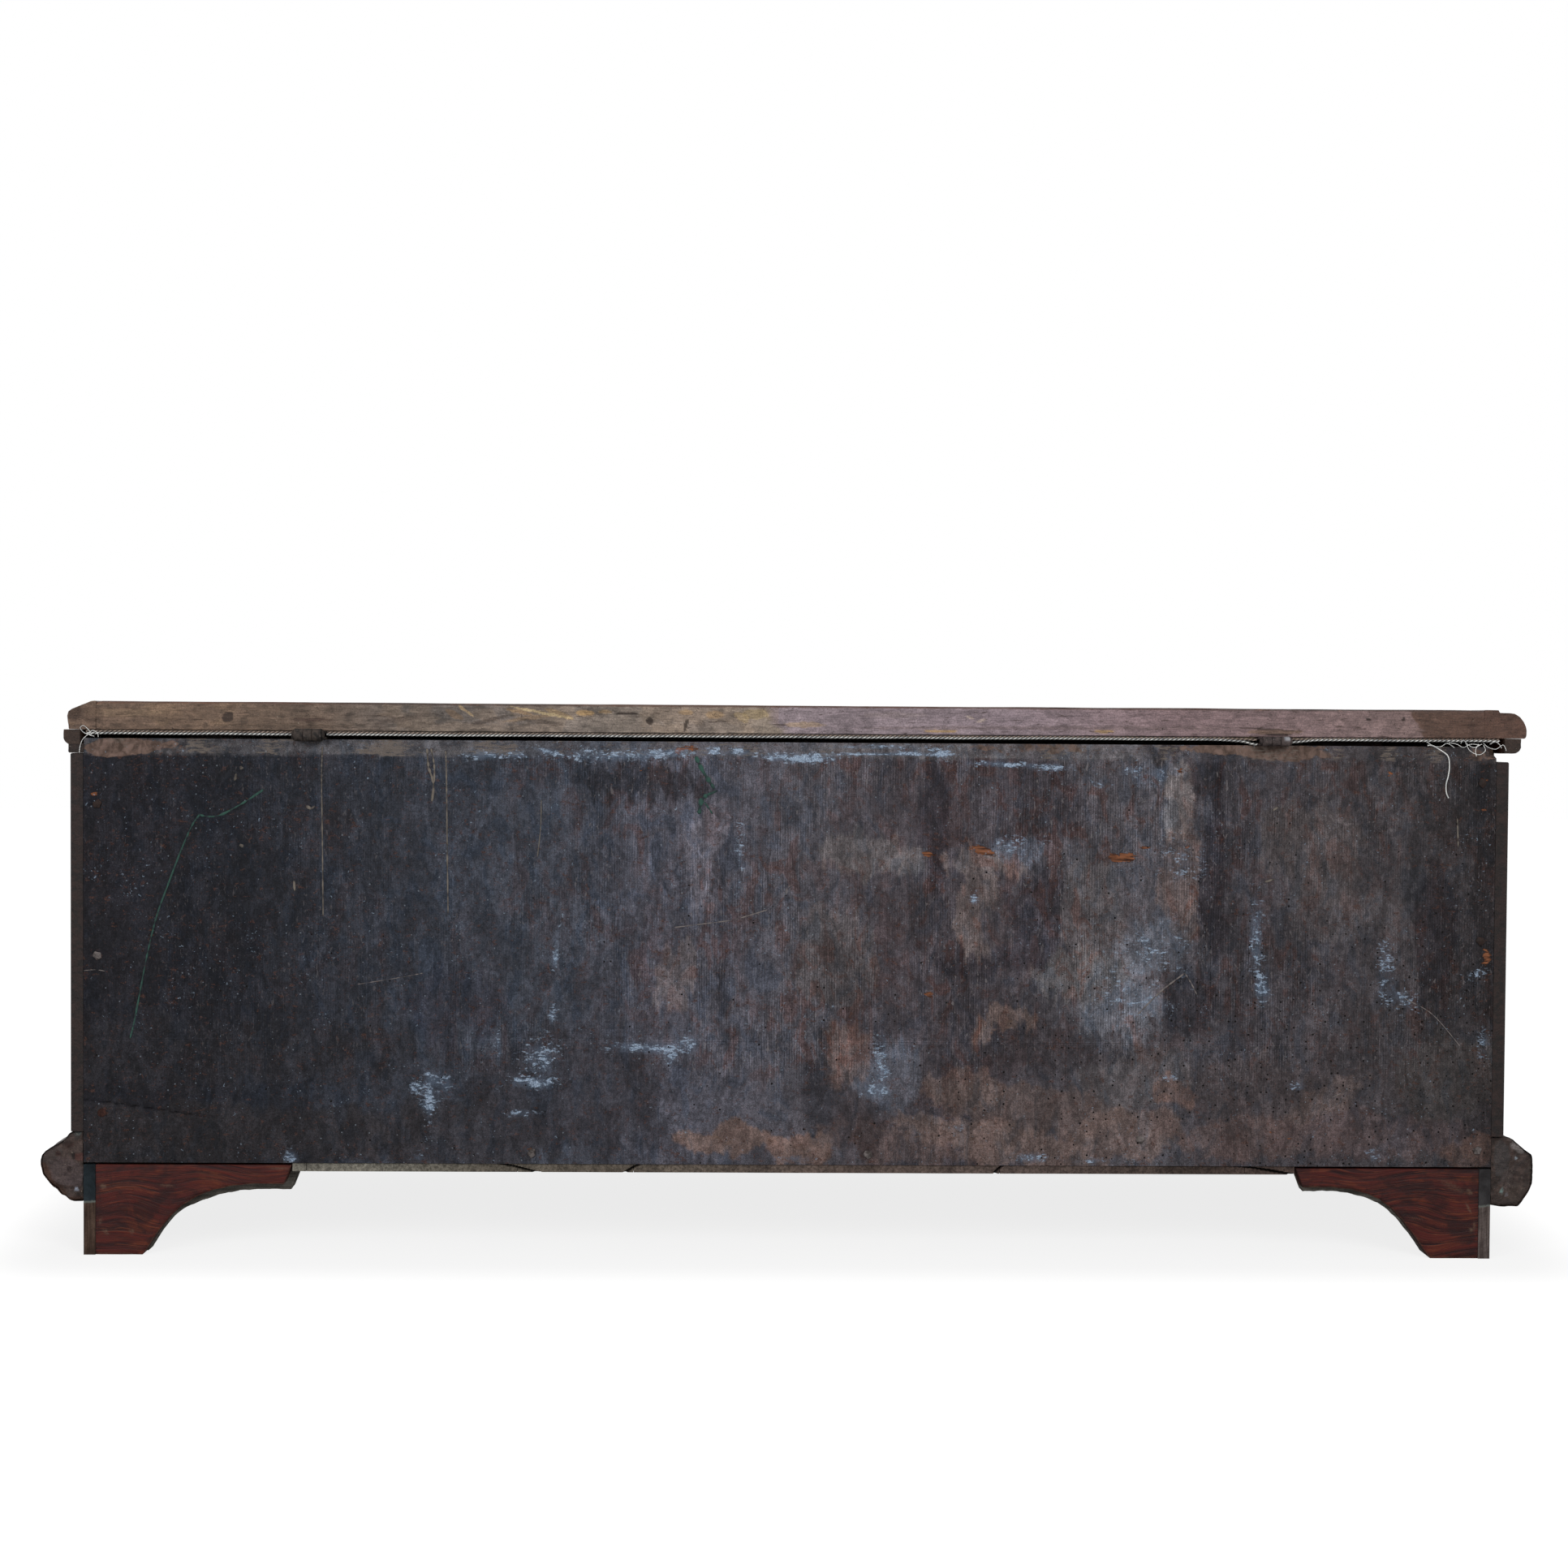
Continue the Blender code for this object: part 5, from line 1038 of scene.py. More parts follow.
def nosing(node, side, finish):
    """A lid nosing as its own rounded section carried along y from the front mitre to the worn rear end, which
    has its own finer rings across the end grain."""
    low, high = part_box(node)
    seam, tip = (low.x, high.x) if side > 0 else (high.x, low.x)
    width = abs(tip - seam)
    if side > 0:
        up = (
            (0, 0.033), (0.006, 0.0325), (0.018, 0.029), (0.029, 0.0245), (0.0335, 0.0215), (0.035, 0.016),
            (0.0335, 0.006), (0.033, 0),
        )
    else:
        up = (
            (0, 0.033), (0.017, 0.033), (0.0176, 0.03), (0.03, 0.0298), (0.036, 0.029), (0.042, 0.0252),
            (0.0465, 0.0195), (0.049, 0.014), (0.05, 0.0095), (0.05, 0.0035), (0.0485, 0),
        )
    profile = evenly(((0, 0), *up), 72)
    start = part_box("lid_nosing_front")[1].y
    stations = np.concatenate((np.linspace(0, 0.97, 50), np.linspace(0.975, 1, 14)))
    section = np.stack(
        (seam + side * np.clip(profile[:, 0] * width / max(p[0] for p in up), 0, width), low.z + profile[:, 1]), -1,
    )
    rings = carried(1, start + (high.y - start) * stations, section)
    out = np.abs(rings[..., 0] - seam) / width
    rings[..., 1] = rings[..., 1] - (1 - stations)[:, None] * (start - low.y) * out
    x, y, z = np.moveaxis(rings, -1, 0)
    near = eased(stations, 0.9, 1.0)[:, None]
    wear = (0.0008 if side > 0 else 0.0003) * (1 + rough(y, z + x, 0.05, 85)) * (0.5 + near)
    rings[..., 0] = x - side * wear * eased(out, 0.05, 0.6)
    rings[..., 2] = z - np.where(z > LID_LOW + 0.015, wear * 0.5 * eased(out, 0.05, 0.5), 0)
    end = rings[-1].mean(0)
    inward = np.stack([end + (rings[-1] - end) * share for share in (0.86, 0.68, 0.5, 0.3, 0.12)])
    rings = np.concatenate((rings, inward))
    x, y, z = np.moveaxis(rings, -1, 0)
    rear = np.concatenate((eased(y[:-5], BACK_Y - 0.01, BACK_Y - 0.002), np.ones_like(y[-5:])))
    rings[-6:, :, 1] -= 0.001 * (1 + rough(x[-6:], z[-6:] * 2, 0.012, 87))
    rear[:-5] *= 0.9
    return on_lid(node, shell(rings, {"worn": rear, "tone": edge_tone(x, z)}), finish)


# A near-black lump under the right strip's corner, a painted shadow filling the shaded gap down to the end board:
# its reach along x and the height of its foot
SHADOW_LUMP = ((0.8178, 0.8352), 0.5809)


def strip(node, side, finish):
    """A strip under the lid's end as a chamfered section carried along y, roughened near its rear end. Under the
    corner of the right one hangs a near-black lump, a painted shadow that fills the gap down to the end board."""
    low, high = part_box(node)
    outer, inner = (high.x, low.x) if side > 0 else (low.x, high.x)
    section = evenly(
        ((outer, high.z), (outer, low.z + 0.007), (outer - side * 0.002, low.z + 0.003), (outer - side * 0.006, low.z),
         (inner, low.z), (inner, high.z)), 56,
    )
    stations = np.concatenate((np.linspace(low.y, high.y - 0.02, 40), np.linspace(high.y - 0.018, high.y, 10)))
    rings = carried(1, stations, section)
    x, y, z = np.moveaxis(rings, -1, 0)
    middle = np.array(((outer + inner) / 2, (low.z + high.z) / 2))
    near = eased(y, BACK_Y - 0.03, BACK_Y)
    shrink = 1 - (0.03 + 0.09 * near) * 0.5 * (1 + rough(y, z + x * 2, 0.012, 91))
    rings[..., 0] = middle[0] + (x - middle[0]) * shrink
    rings[..., 2] = middle[1] + (z - middle[1]) * np.where(z > middle[1], 1, shrink)
    worn = eased(y, BACK_Y - 0.03, BACK_Y - 0.001)
    tone = linear("33261f") * (1 + 0.35 * rough(x, z, 0.004, 93))[..., None]
    shells = [shell(rings, {"worn": worn, "tone": tone})]
    if side > 0:
        # The near-black lump is a painted shadow in the gap above the end board
        (lump_low, lump_high), lump_foot = SHADOW_LUMP
        section = eased_box((lump_low, lump_foot), (lump_high, low.z + 0.002), 0.0012, (6, 8, 6))
        lump = carried(1, np.linspace(BACK_Y - 0.02, high.y - 0.0006, 12), section)
        lump[..., 0] -= 0.0006 * (1 + rough(lump[..., 1], lump[..., 2], 0.006, 94))
        shells.append(shell(lump, {"worn": 1, "tone": np.broadcast_to(linear("241a17"), lump.shape)}))
    return on_lid(node, shells, finish)


class CASSAPANCA_OT_lid(Operator):
    """Builds the lid's board, its end nosings and the strips under them, with their worn rear ends"""

    bl_idname = "cassapanca.lid"
    bl_label = "Lid"

    def execute(self, context):
        settings = context.scene.cassapanca_wood
        along = stained_walnut("stained walnut along x", 0, settings)
        endwise = stained_walnut("stained walnut along y", 1, settings)
        lid_board(along)
        nosing("lid_nosing_right", 1, endwise)
        nosing("lid_nosing_left", -1, endwise)
        strip("lid_strip_right", 1, endwise)
        strip("lid_strip_left", -1, endwise)
        dress(along, "lid_nosing_front", "lid_strip_front")
        return {"FINISHED"}


# Lining under the lid

def staple_notch(x, y):
    """True where the lining is cut away round the lock's staple and the two hinge leaves."""
    staple_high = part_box("lock_staple")[1]
    cut = (np.abs(x) < staple_high.x + 0.0012) & (y < staple_high.y + 0.0012)
    for node in ("hinge_right_lid_leaf", "hinge_left_lid_leaf"):
        low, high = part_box(node)
        cut |= (x > low.x - 0.003) & (x < high.x + 0.003) & (y > low.y - 0.0012)
    return cut


class CASSAPANCA_OT_lining(Operator):
    """Builds the linen stretched under the lid, in soft waves between its tacks"""

    bl_idname = "cassapanca.lining"
    bl_label = "Lid Lining"

    def execute(self, context):
        low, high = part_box("lid_lining")
        x, y = np.meshgrid(np.linspace(low.x, high.x, 360), np.linspace(low.y, high.y, 110), indexing="ij")
        sag = 0.00028 * (1 + rough(x, y, 0.05, 95)) + 0.0002 * (1 + np.sin(x * 2 * math.pi / 0.09)) * np.exp(
            -(np.minimum(y - low.y, high.y - y) / 0.02),
        )
        z = high.z - 0.0001 - sag
        places = np.stack((x, y, z), -1).reshape(-1, 3)
        ids = np.arange(x.size).reshape(x.shape)
        quads = np.stack((ids[:-1, :-1], ids[:-1, 1:], ids[1:, 1:], ids[1:, :-1]), -1).reshape(-1, 4)
        middle_x = (x[:-1, :-1] + x[1:, 1:]) / 2
        middle_y = (y[:-1, :-1] + y[1:, 1:]) / 2
        quads = quads[~staple_notch(middle_x, middle_y).ravel()]
        mesh = bpy.data.meshes.new("linen_lining")
        mesh.from_pydata(places.tolist(), [], quads.tolist())
        mesh.shade_smooth()
        mesh.materials.append(plain_linen())
        made = placed("linen_lining", mesh)
        thick = made.modifiers.new("cloth thickness", "SOLIDIFY")
        thick.thickness = 0.0005
        thick.offset = 1.0
        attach(made, LID)
        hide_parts("lid_lining")
        return {"FINISHED"}


# Braid and thread

def cord_pair(path, radius, turn, sides=6, phase=0.0):
    """Two strands twisted round each other: each is a helix about the path, half a turn from the other."""
    ahead = np.gradient(path, axis=0)
    steps = np.linalg.norm(ahead, axis=1)
    ahead = ahead / steps[:, None]
    length = np.concatenate(((0,), np.cumsum(np.linalg.norm(np.diff(path, axis=0), axis=1))))
    across = np.cross(ahead, np.array((0.0, 1.0, 0.0)))
    across /= np.linalg.norm(across, axis=1)[:, None]
    above = np.cross(across, ahead)
    made = []
    for strand in (0, 1):
        angle = (2 * math.pi * length / turn + math.pi * strand + phase)[:, None]
        line = path + radius * (across * np.cos(angle) + above * np.sin(angle))
        rings = tube(line, radius * 0.98, sides)
        # Painted shade: darker where the strand's surface lies back from the row's outer face, in the hollows between
        # the turns
        hollow = 0.85 * eased(1.8 * radius - (rings[..., 1] - path[:, None, 1]), 0, 0.75 * radius)
        made.append(shell(rings, {"hollow": hollow}))
    return made


def braid_path(low_x, high_x, drop, out, rise, settings, dips):
    """The line of one row: along the lid's lower rear edge, waving by half a millimetre, rising evenly towards -X
    and dipping to a hinge."""
    count = int((high_x - low_x) / settings.yarn_turn * 8)
    x = np.linspace(low_x, high_x, count)
    z = LID_LOW - drop + 0.0004 * rough(x, 0, 0.06, 97) + rise * np.clip((0.55 - x) / 1.2, 0, 1)
    for place, wide, deep in dips:
        z = z - deep * np.exp(-((x - place) / wide) ** 2)
    y = np.full_like(x, BACK_Y - out) + 0.0002 * rough(x, 0, 0.03, 98)
    return np.stack((x, y, z), -1)


def frayed(line):
    """A loose fibre, 0.8 mm thick, through the points of a frayed end, which lie under the lid's rear edge."""
    across, down, behind = np.array(line, float).T
    x, z = on_back(across, down)
    points = np.stack((x, BACK_Y - 0.0006 + behind / 1000, z), -1)
    return shell(tube(eased_line(points, 28), 0.0004, 6), {"hollow": 0})


class CASSAPANCA_OT_braid(Operator):
    """Builds the two-row twisted braid under the lid's rear edge with its frayed ends, and the loose thread"""

    bl_idname = "cassapanca.braid"
    bl_label = "Braid and Loose Thread"

    def execute(self, context):
        settings = context.scene.cassapanca_trim
        beige = twisted_yarn("beige cotton yarn", "b8a497", "8a776b")
        pale = twisted_yarn("pale grey cotton yarn", "fafaf6", "a4a8ab")
        radius = settings.yarn_radius
        for node in ("lid_braid_left", "lid_braid_middle", "lid_braid_right"):
            low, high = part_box(node)
            short_low, short_high = (BRAID_SHORT if abs(end) > 0.7 else -BRAID_PAST for end in (low.x, high.x))
            ends = (low.x + short_low, high.x - short_high)
            dips = DIPS.get(node, ())
            slight = [(place, wide, deep * 0.3) for place, wide, deep in dips]
            upper = cord_pair(braid_path(*ends, 0.0019, 0.0022, 0, settings, slight), radius, settings.yarn_turn)
            lower = cord_pair(
                braid_path(*ends, 0.0042, 0.001, 0.0011, settings, dips), radius * 1.05, settings.yarn_turn,
                phase=1.0,
            )
            lower += [frayed(line) for line in FRAYED.get(node, ())]
            piece(f"beige_cord_{node[10:]}", upper, LID, beige)
            piece(f"pale_cord_{node[10:]}", lower, LID, pale, (node,), 60)
        self.thread(pale)
        return {"FINISHED"}

    def thread(self, finish):
        """The thread follows the CAD's route, as its own smooth curve."""
        route = np.array(THREAD_ROUTE) + np.array((0, BACK_Y, 0))
        path = eased_line(route, 60)
        yarn = shell(tube(path, THREAD_DIAMETER / 2, 8), {"hollow": 0})
        made = piece("loose_pale_thread", [yarn], CHEST, finish, ("loose_thread",))


# How far a row of braid stays inside its bar at the chest's ends, and reaches past it beside a hinge
BRAID_SHORT = 0.002
BRAID_PAST = 0.0032

THREAD_DIAMETER = 0.0014
THREAD_ROUTE = (
    (-0.737, -0.0012, 0.5994), (-0.742, 0.0003, 0.5993), (-0.749, 0.0018, 0.5955), (-0.76, 0.0014, 0.5875),
    (-0.7622, 0.0012, 0.576), (-0.7612, 0.0012, 0.565), (-0.7586, 0.0013, 0.5544), (-0.759, 0.0012, 0.545),
    (-0.7616, 0.0012, 0.5384),
)

# Frayed ends of the braid: across, down, and how far behind the lid's edge in millimetres
FRAYED = {
    "lid_braid_right": (
        ((112, 905, 0.4), (104, 903, 1.0), (99, 897, 1.2), (103, 894, 1.0), (109, 899, 0.8), (113, 905, 0.4)),
        ((116, 907, 0.4), (110, 905, 1.2), (114, 900, 1.4), (120, 903, 1.0), (121, 908, 0.4)),
        ((108, 905, 0.4), (102, 911, 1.2), (99, 919, 1.6), (98, 927, 1.8)),
    ),
    "lid_braid_left": (
        ((1785, 915, 0.4), (1795, 917, 1.0), (1803, 921, 1.2), (1812, 917, 1.0), (1824, 918, 0.6)),
        ((1800, 916, 0.4), (1803, 912, 1.2), (1808, 917, 1.4), (1816, 921, 1.0), (1826, 917, 0.4)),
        ((1822, 917, 0.4), (1818, 924, 1.2), (1819, 932, 1.2)),
        ((1836, 917, 0.4), (1842, 914, 1.2), (1847, 917, 1.4), (1850, 922, 1.2)),
        ((1758, 914, 0.4), (1766, 919, 1.0), (1775, 920, 1.2), (1783, 916, 1.0), (1792, 921, 0.6)),
        ((1806, 915, 0.4), (1811, 925, 1.2), (1822, 930, 1.4), (1830, 925, 1.2), (1828, 918, 0.6)),
        ((1828, 916, 0.4), (1834, 921, 1.2), (1843, 923, 1.4), (1852, 918, 1.0), (1856, 925, 0.8)),
    ),
}

# Where the braid dips beside the left hinge: place along x, half width and depth
DIPS = {
    "lid_braid_middle": ((-0.541, 0.032, 0.003), (-0.536, 0.009, 0.0026)),
    "lid_braid_left": ((-0.577, 0.022, 0.0028),),
}


# Base moulding

# How far the moulding's lip reaches under the chest
BASE_LIP = 0.0142

# The moulding's section, as (out from the chest's end face, up from the floor)
SOUND_BASE = (
    (-BASE_LIP, 0.0602), (0.008, 0.0602), (0.0235, 0.074), (0.0315, 0.084), (0.0357, 0.096), (0.036, 0.107),
    (0.0335, 0.117), (0.0275, 0.1235), (0.014, 0.131), (0.0, 0.1428), (-BASE_LIP, 0.1428),
)

# The broken rear ends, as (across, down) places along their rims
BROKEN_RIGHT = (
    (106, 1479), (100, 1480.3), (91, 1480.6), (85, 1478.8), (80, 1474.4), (75, 1472.6), (72.5, 1470), (69, 1465.8),
    (64, 1463), (59, 1457), (54.4, 1451.3), (51.5, 1447), (50.3, 1443), (47.8, 1436.3), (48.2, 1430), (50.6, 1423),
    (55, 1418), (62.5, 1413), (72.5, 1408), (80, 1402.5), (85, 1396.3), (90, 1392.5), (104, 1391),
)
BROKEN_LEFT = (
    (1834, 1485), (1848, 1487), (1860, 1488), (1871, 1487.9), (1876, 1482.5), (1881, 1475), (1885.6, 1467.5),
    (1889.4, 1458.8), (1891.3, 1451.3), (1895, 1445), (1896.3, 1440), (1895.6, 1433), (1892, 1428), (1888.8, 1423),
    (1881.3, 1417.5), (1873.8, 1411.3), (1865, 1403.8), (1857, 1397), (1834, 1397),
)

# Stains and pits of the broken ends: colour, strength
END_MARKS = (
    (54, 1446, 7, 14, "3b2418", 0.85, -38), (70, 1466, 12, 4, "352015", 0.8, 38), (94, 1479, 14, 4, "3a2318", 0.8),
    (80, 1445, 20, 14, "4d4141", 0.7, 30), (62, 1424, 12, 6, "4c423f", 0.6, -30), (98, 1426, 8, 4, "4a2b26", 0.85),
    (84, 1441, 3, 3, "231516", 0.9), (89, 1425, 2, 4, "1c1312", 0.9), (80, 1463, 12, 1.5, "2b1a14", 0.9, 6),
    (93, 1466, 2, 2, "9ba1b0", 0.9), (95, 1396, 4, 3, "5a6160", 0.7), (106, 1411, 4, 1.6, "150d0d", 0.9, -25),
    (84, 1411, 5, 3, "33201c", 0.8), (70, 1422, 3, 3, "38221e", 0.8), (96, 1455, 14, 6, "4b3f40", 0.5),
    (105, 1450, 3, 24, "120e0e", 0.9, 4), (1871, 1415, 8, 4, "77706e", 0.85, 35),
    (1864, 1405, 10, 2, "3c3634", 0.8, 38), (1870, 1428, 1.6, 1.6, "9aa3ab", 0.9),
    (1867, 1442, 22, 1.6, "2d2321", 0.8, -42), (1876, 1452, 20, 1.4, "342a27", 0.7, -40),
    (1852, 1430, 8, 20, "3a3636", 0.7), (1852, 1468, 1.6, 3, "77908c", 0.9), (1858, 1473, 2, 1.4, "8f8a92", 0.9),
    (1870, 1470, 12, 10, "41352f", 0.6, -30), (1889, 1440, 4, 10, "37302c", 0.7, 10),
    (1858, 1456, 6, 12, "4a3f3c", 0.6, 10),
)


END_RINGS = 18


def base_moulding(node, side, rim, finish):
    """A base moulding as its rolled section carried along y. Over the last 50 mm the sound section passes into
    the broken outline of the rear end, and finer rings close over rough end grain."""
    low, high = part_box(node)
    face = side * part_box("front_board")[1].x
    sound = np.array(SOUND_BASE)
    sound = evenly(np.stack((face + side * sound[:, 0], sound[:, 1]), -1), 110)
    rim_x, rim_z = on_back(*np.array(rim, float).T)
    inner = face - side * BASE_LIP
    rim_x = np.where(side * rim_x < side * inner + 0.003, inner, rim_x)
    rim_x = side * np.minimum(side * rim_x, abs(high.x if side > 0 else low.x) - 0.0004)
    broken = evenly(np.stack((rim_x, np.clip(rim_z, low.z + 0.0004, high.z)), -1), 110)
    broken = np.roll(broken, -int(np.argmin(np.linalg.norm(broken - sound[0], axis=1))), 0)
    if np.sign(area_of(broken)) != np.sign(area_of(sound)):
        broken = np.roll(broken[::-1], 1, 0)
    stations = np.concatenate((np.linspace(0, 0.88, 44), np.linspace(0.885, 1, 26)))
    start = low.y + abs(high.x if side > 0 else low.x) - abs(face)
    share = eased(stations, 0.89, 0.985)[:, None, None]
    rings = carried(1, start + (high.y - start) * stations, sound[None] * (1 - share) + broken[None] * share)
    rings[..., 1] -= (1 - stations)[:, None] * side * (rings[..., 0] - face)
    middle = np.array((face + side * 0.008, 0.1))
    x, y, z = np.moveaxis(rings, -1, 0)
    proud = eased(side * (x - face), 0.001, 0.008)
    wear = (0.01 + 0.008 * share[..., 0]) * (1 + rough(y, z * 2 + x, 0.01, 101, 4)) * proud
    rings[..., 0] = middle[0] + (x - middle[0]) * (1 - wear)
    rings[..., 2] = np.clip(middle[1] + (z - middle[1]) * (1 - wear), low.z, high.z)
    rings[..., 0] = np.where(side * rings[..., 0] < side * inner, inner, rings[..., 0])
    centre = rings[-1].mean(0)
    inward = np.stack([centre + (rings[-1] - centre) * k for k in np.linspace(0.95, 0.06, END_RINGS)])
    rings = np.concatenate((rings, inward))
    x, z = rings[..., 0], rings[..., 2]
    first = -END_RINGS - 1
    end_x, end_z = x[first:], z[first:]
    depth = 0.0026 * (1 + rough(end_x, end_z, 0.011, 103, 4)) + 0.0016 * (1 + rough(end_x, end_z * 0.6, 0.004, 105))
    depth[0] *= 1.6
    rings[first:, :, 1] -= depth
    worn = eased(rings[..., 1], BACK_Y - 0.05, BACK_Y - 0.014)
    tone = linear("3b2f2b") * (1.05 + 1.1 * rough(x, z, 0.005, 107, 4))[..., None]
    across, down = seen_at(x, BACK_Y, z)
    tone = laid_over(tone, across, down, END_MARKS, 0.25 * rough(across, down, 5, 111, 4), 1.25)
    return piece(
        f"walnut_{node}", [shell(rings, {"worn": worn, "tone": tone})], CHEST, finish, (node,), 50,
    )


def area_of(points):
    """Twice the signed area of an outline."""
    after = np.roll(points, -1, 0)
    return (points[:, 0] * after[:, 1] - after[:, 0] * points[:, 1]).sum()


class CASSAPANCA_OT_base(Operator):
    """Builds the side base mouldings with their broken rear ends and finishes the front one"""

    bl_idname = "cassapanca.base"
    bl_label = "Base Moulding"

    def execute(self, context):
        settings = context.scene.cassapanca_wood
        endwise = stained_walnut("stained walnut moulding", 1, settings)
        base_moulding("base_moulding_right", 1, BROKEN_RIGHT, endwise)
        base_moulding("base_moulding_left", -1, BROKEN_LEFT, endwise)
        dress(stained_walnut("stained walnut front moulding", 0, settings), "base_moulding_front")
        return {"FINISHED"}


# Feet

# How each rear bracket, by its kind and side, differs from its frame: depth of the wear on its arris, share of
# the length that its tip reaches, sag of the tip
BRACKET_WEAR = {
    ("back", 1): (0.0006, 1, 0), ("back", -1): (0.0006, 1, 0), ("backing", 1): (0.0012, 0.993, 0.0046),
    ("backing", -1): (0.0012, 0.948, 0.003),
}


def bracket_rings(node, side, seed, wear, reach, sag):
    """A rear bracket as upright rectangular sections carried along x: each reaches from the bracket's lower
    line up to its top, so the arch is the lower edge of the run of sections. Noise wears the arrises. Its tip
    lies at the share reach of the CAD's length, and sag lower."""
    low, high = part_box(node)
    corner = high.x if side > 0 else low.x
    length = high.x - low.x
    steps = evenly(foot_line(node, side), 150, closed=False)
    if side > 0:
        steps[:, 0] -= (0.022 + 1.6 * (1 - reach)) * np.exp(-((steps[:, 0] - 0.4) / 0.15) ** 2)
    x = corner - side * steps[:, 0] * length * reach
    foot = low.z + steps[:, 1] - sag * eased(steps[:, 0], 0.3, 0.6) * (steps[:, 1] < high.z - low.z - 0.001)
    section = outline(((1, 0.0), (1, 1.0), (0, 1.0), (0, 0.0)), (34, 6, 8, 6))
    y = low.y + (high.y - low.y) * section[None, :, 0] * np.ones((len(x), 1))
    z = foot[:, None] + (high.z - foot[:, None]) * section[None, :, 1]
    rings = np.stack((np.broadcast_to(x[:, None], y.shape), y, z), -1)
    near_edge = np.exp(-((z - foot[:, None]) / 0.0016) ** 2)
    rear = eased(y, high.y - 0.003, high.y)
    x = x[:, None]
    dents = 0.0002 * (1 + rough(x, z * 3, 0.02, seed))
    rings[..., 1] -= rear * (dents + near_edge * wear * (1.5 + rough(x, z, 0.01, seed + 1)))
    off_floor = foot[:, None] > low.z + 0.002
    rings[..., 2] += near_edge * wear * 0.8 * (1 + rough(x, y * 2, 0.008, seed + 2)) * off_floor
    return rings, near_edge * rear


# Scars in the rear feet: depth of wear
FOOT_SCARS = (
    (127, 1462, 4, 3, 0.9, 20), (130, 1518, 4, 2, 0.9, 25), (162, 1518, 3.5, 2, 0.8), (123, 1505, 2, 5, 0.5, 30),
    (205, 1461, 9, 1.4, 0.6, 4), (345, 1440, 14, 1.6, 0.5), (1811, 1469, 4, 2.5, 0.9, 30),
    (1810, 1489, 1.5, 7, 0.8, -30), (1813, 1516, 2.5, 2.5, 1.0), (1817, 1511, 1.5, 5, 0.7),
    (1745, 1502, 9, 1.2, 0.5, 4), (1790, 1462, 18, 4, 0.35, 28),
)


class CASSAPANCA_OT_feet(Operator):
    """Builds the rear bracket feet and their older backings and finishes the other feet"""

    bl_idname = "cassapanca.feet"
    bl_label = "Feet"

    def execute(self, context):
        settings = context.scene.cassapanca_wood
        red = red_stained_pine(settings)
        grey = bare_pine("grey pine backing", "524f49", "86827a", 0)
        # The uprights are painted dark above 62 mm: a painted shadow in the recess under the base moulding's lip
        uprights = {
            "right": bare_pine("brown pine upright", "33261f", "5a483e", 2, 0.062, ("12181c", "323c42")),
            "left": bare_pine("grey pine upright", "463b38", "736864", 2, 0.062, ("2a2829", "454344")),
        }
        walnut_front = stained_walnut("stained walnut foot front", 0, settings)
        walnut_side = stained_walnut("stained walnut foot side", 1, settings)
        for side, word in ((1, "right"), (-1, "left")):
            for kind, finish, slot, seed in (("back", red, "foot_wood", 121), ("backing", grey, "raw_wood", 131)):
                node = f"rear_{word}_foot_{kind}"
                rings, edge = bracket_rings(node, side, seed + (side > 0) * 5, *BRACKET_WEAR[kind, side])
                x, z = rings[..., 0], rings[..., 2]
                worn = edge * lattice(x, z, 0.012, seed) + soft_spots(*seen_at(x, BACK_Y, z), FOOT_SCARS)
                name = f"{'red' if kind == 'back' else 'grey'}_{node}"
                piece(name, [shell(rings, {"worn": np.clip(worn, 0, 1)})], CHEST, finish, (node,))
            dress(uprights[word], f"rear_{word}_foot_side", f"rear_{word}_foot_block", f"front_{word}_foot_block")
            dress(walnut_front, f"front_{word}_foot_front")
            dress(walnut_side, f"front_{word}_foot_side")
        return {"FINISHED"}


def foot_line(node, side):
    """A bracket's lower edge, as (share of its length from its corner, height above the floor in metres): flat
    under the toe, up the arch and out along the tip, read off the CAD's lowest points at each place."""
    low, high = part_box(node)
    length = high.x - low.x
    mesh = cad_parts[node].data
    places = np.zeros(len(mesh.vertices) * 3)
    mesh.vertices.foreach_get("co", places)
    places = places.reshape(-1, 3)
    corner = high.x if side > 0 else low.x
    away = np.abs(places[:, 0] - corner) / length
    under = {}
    for share, height in zip(np.round(away, 5), places[:, 2] - low.z):
        under[share] = min(height, under.get(share, 9))
    return sorted(under.items())


# Chest box: what keeps the CAD's shape

# Open joints of the bottom boards on their rear edge: (across, down) of their upper and lower ends
BOTTOM_JOINTS = (
    ((618, 1434), (664, 1443)), ((789, 1434), (770, 1443)), ((1239, 1434), (1226, 1443)),
    ((1512, 1435), (1596, 1446)),
)

# How much darker the boards' rear edges get along the back: across, colour that multiplies theirs
BOTTOM_TONES = (
    (480, "ecebec"), (600, "bfb8b5"), (850, "bdb0ae"), (1000, "bca8aa"), (1300, "a8969a"), (1450, "8c7c7c"),
    (1600, "9e898b"),
)


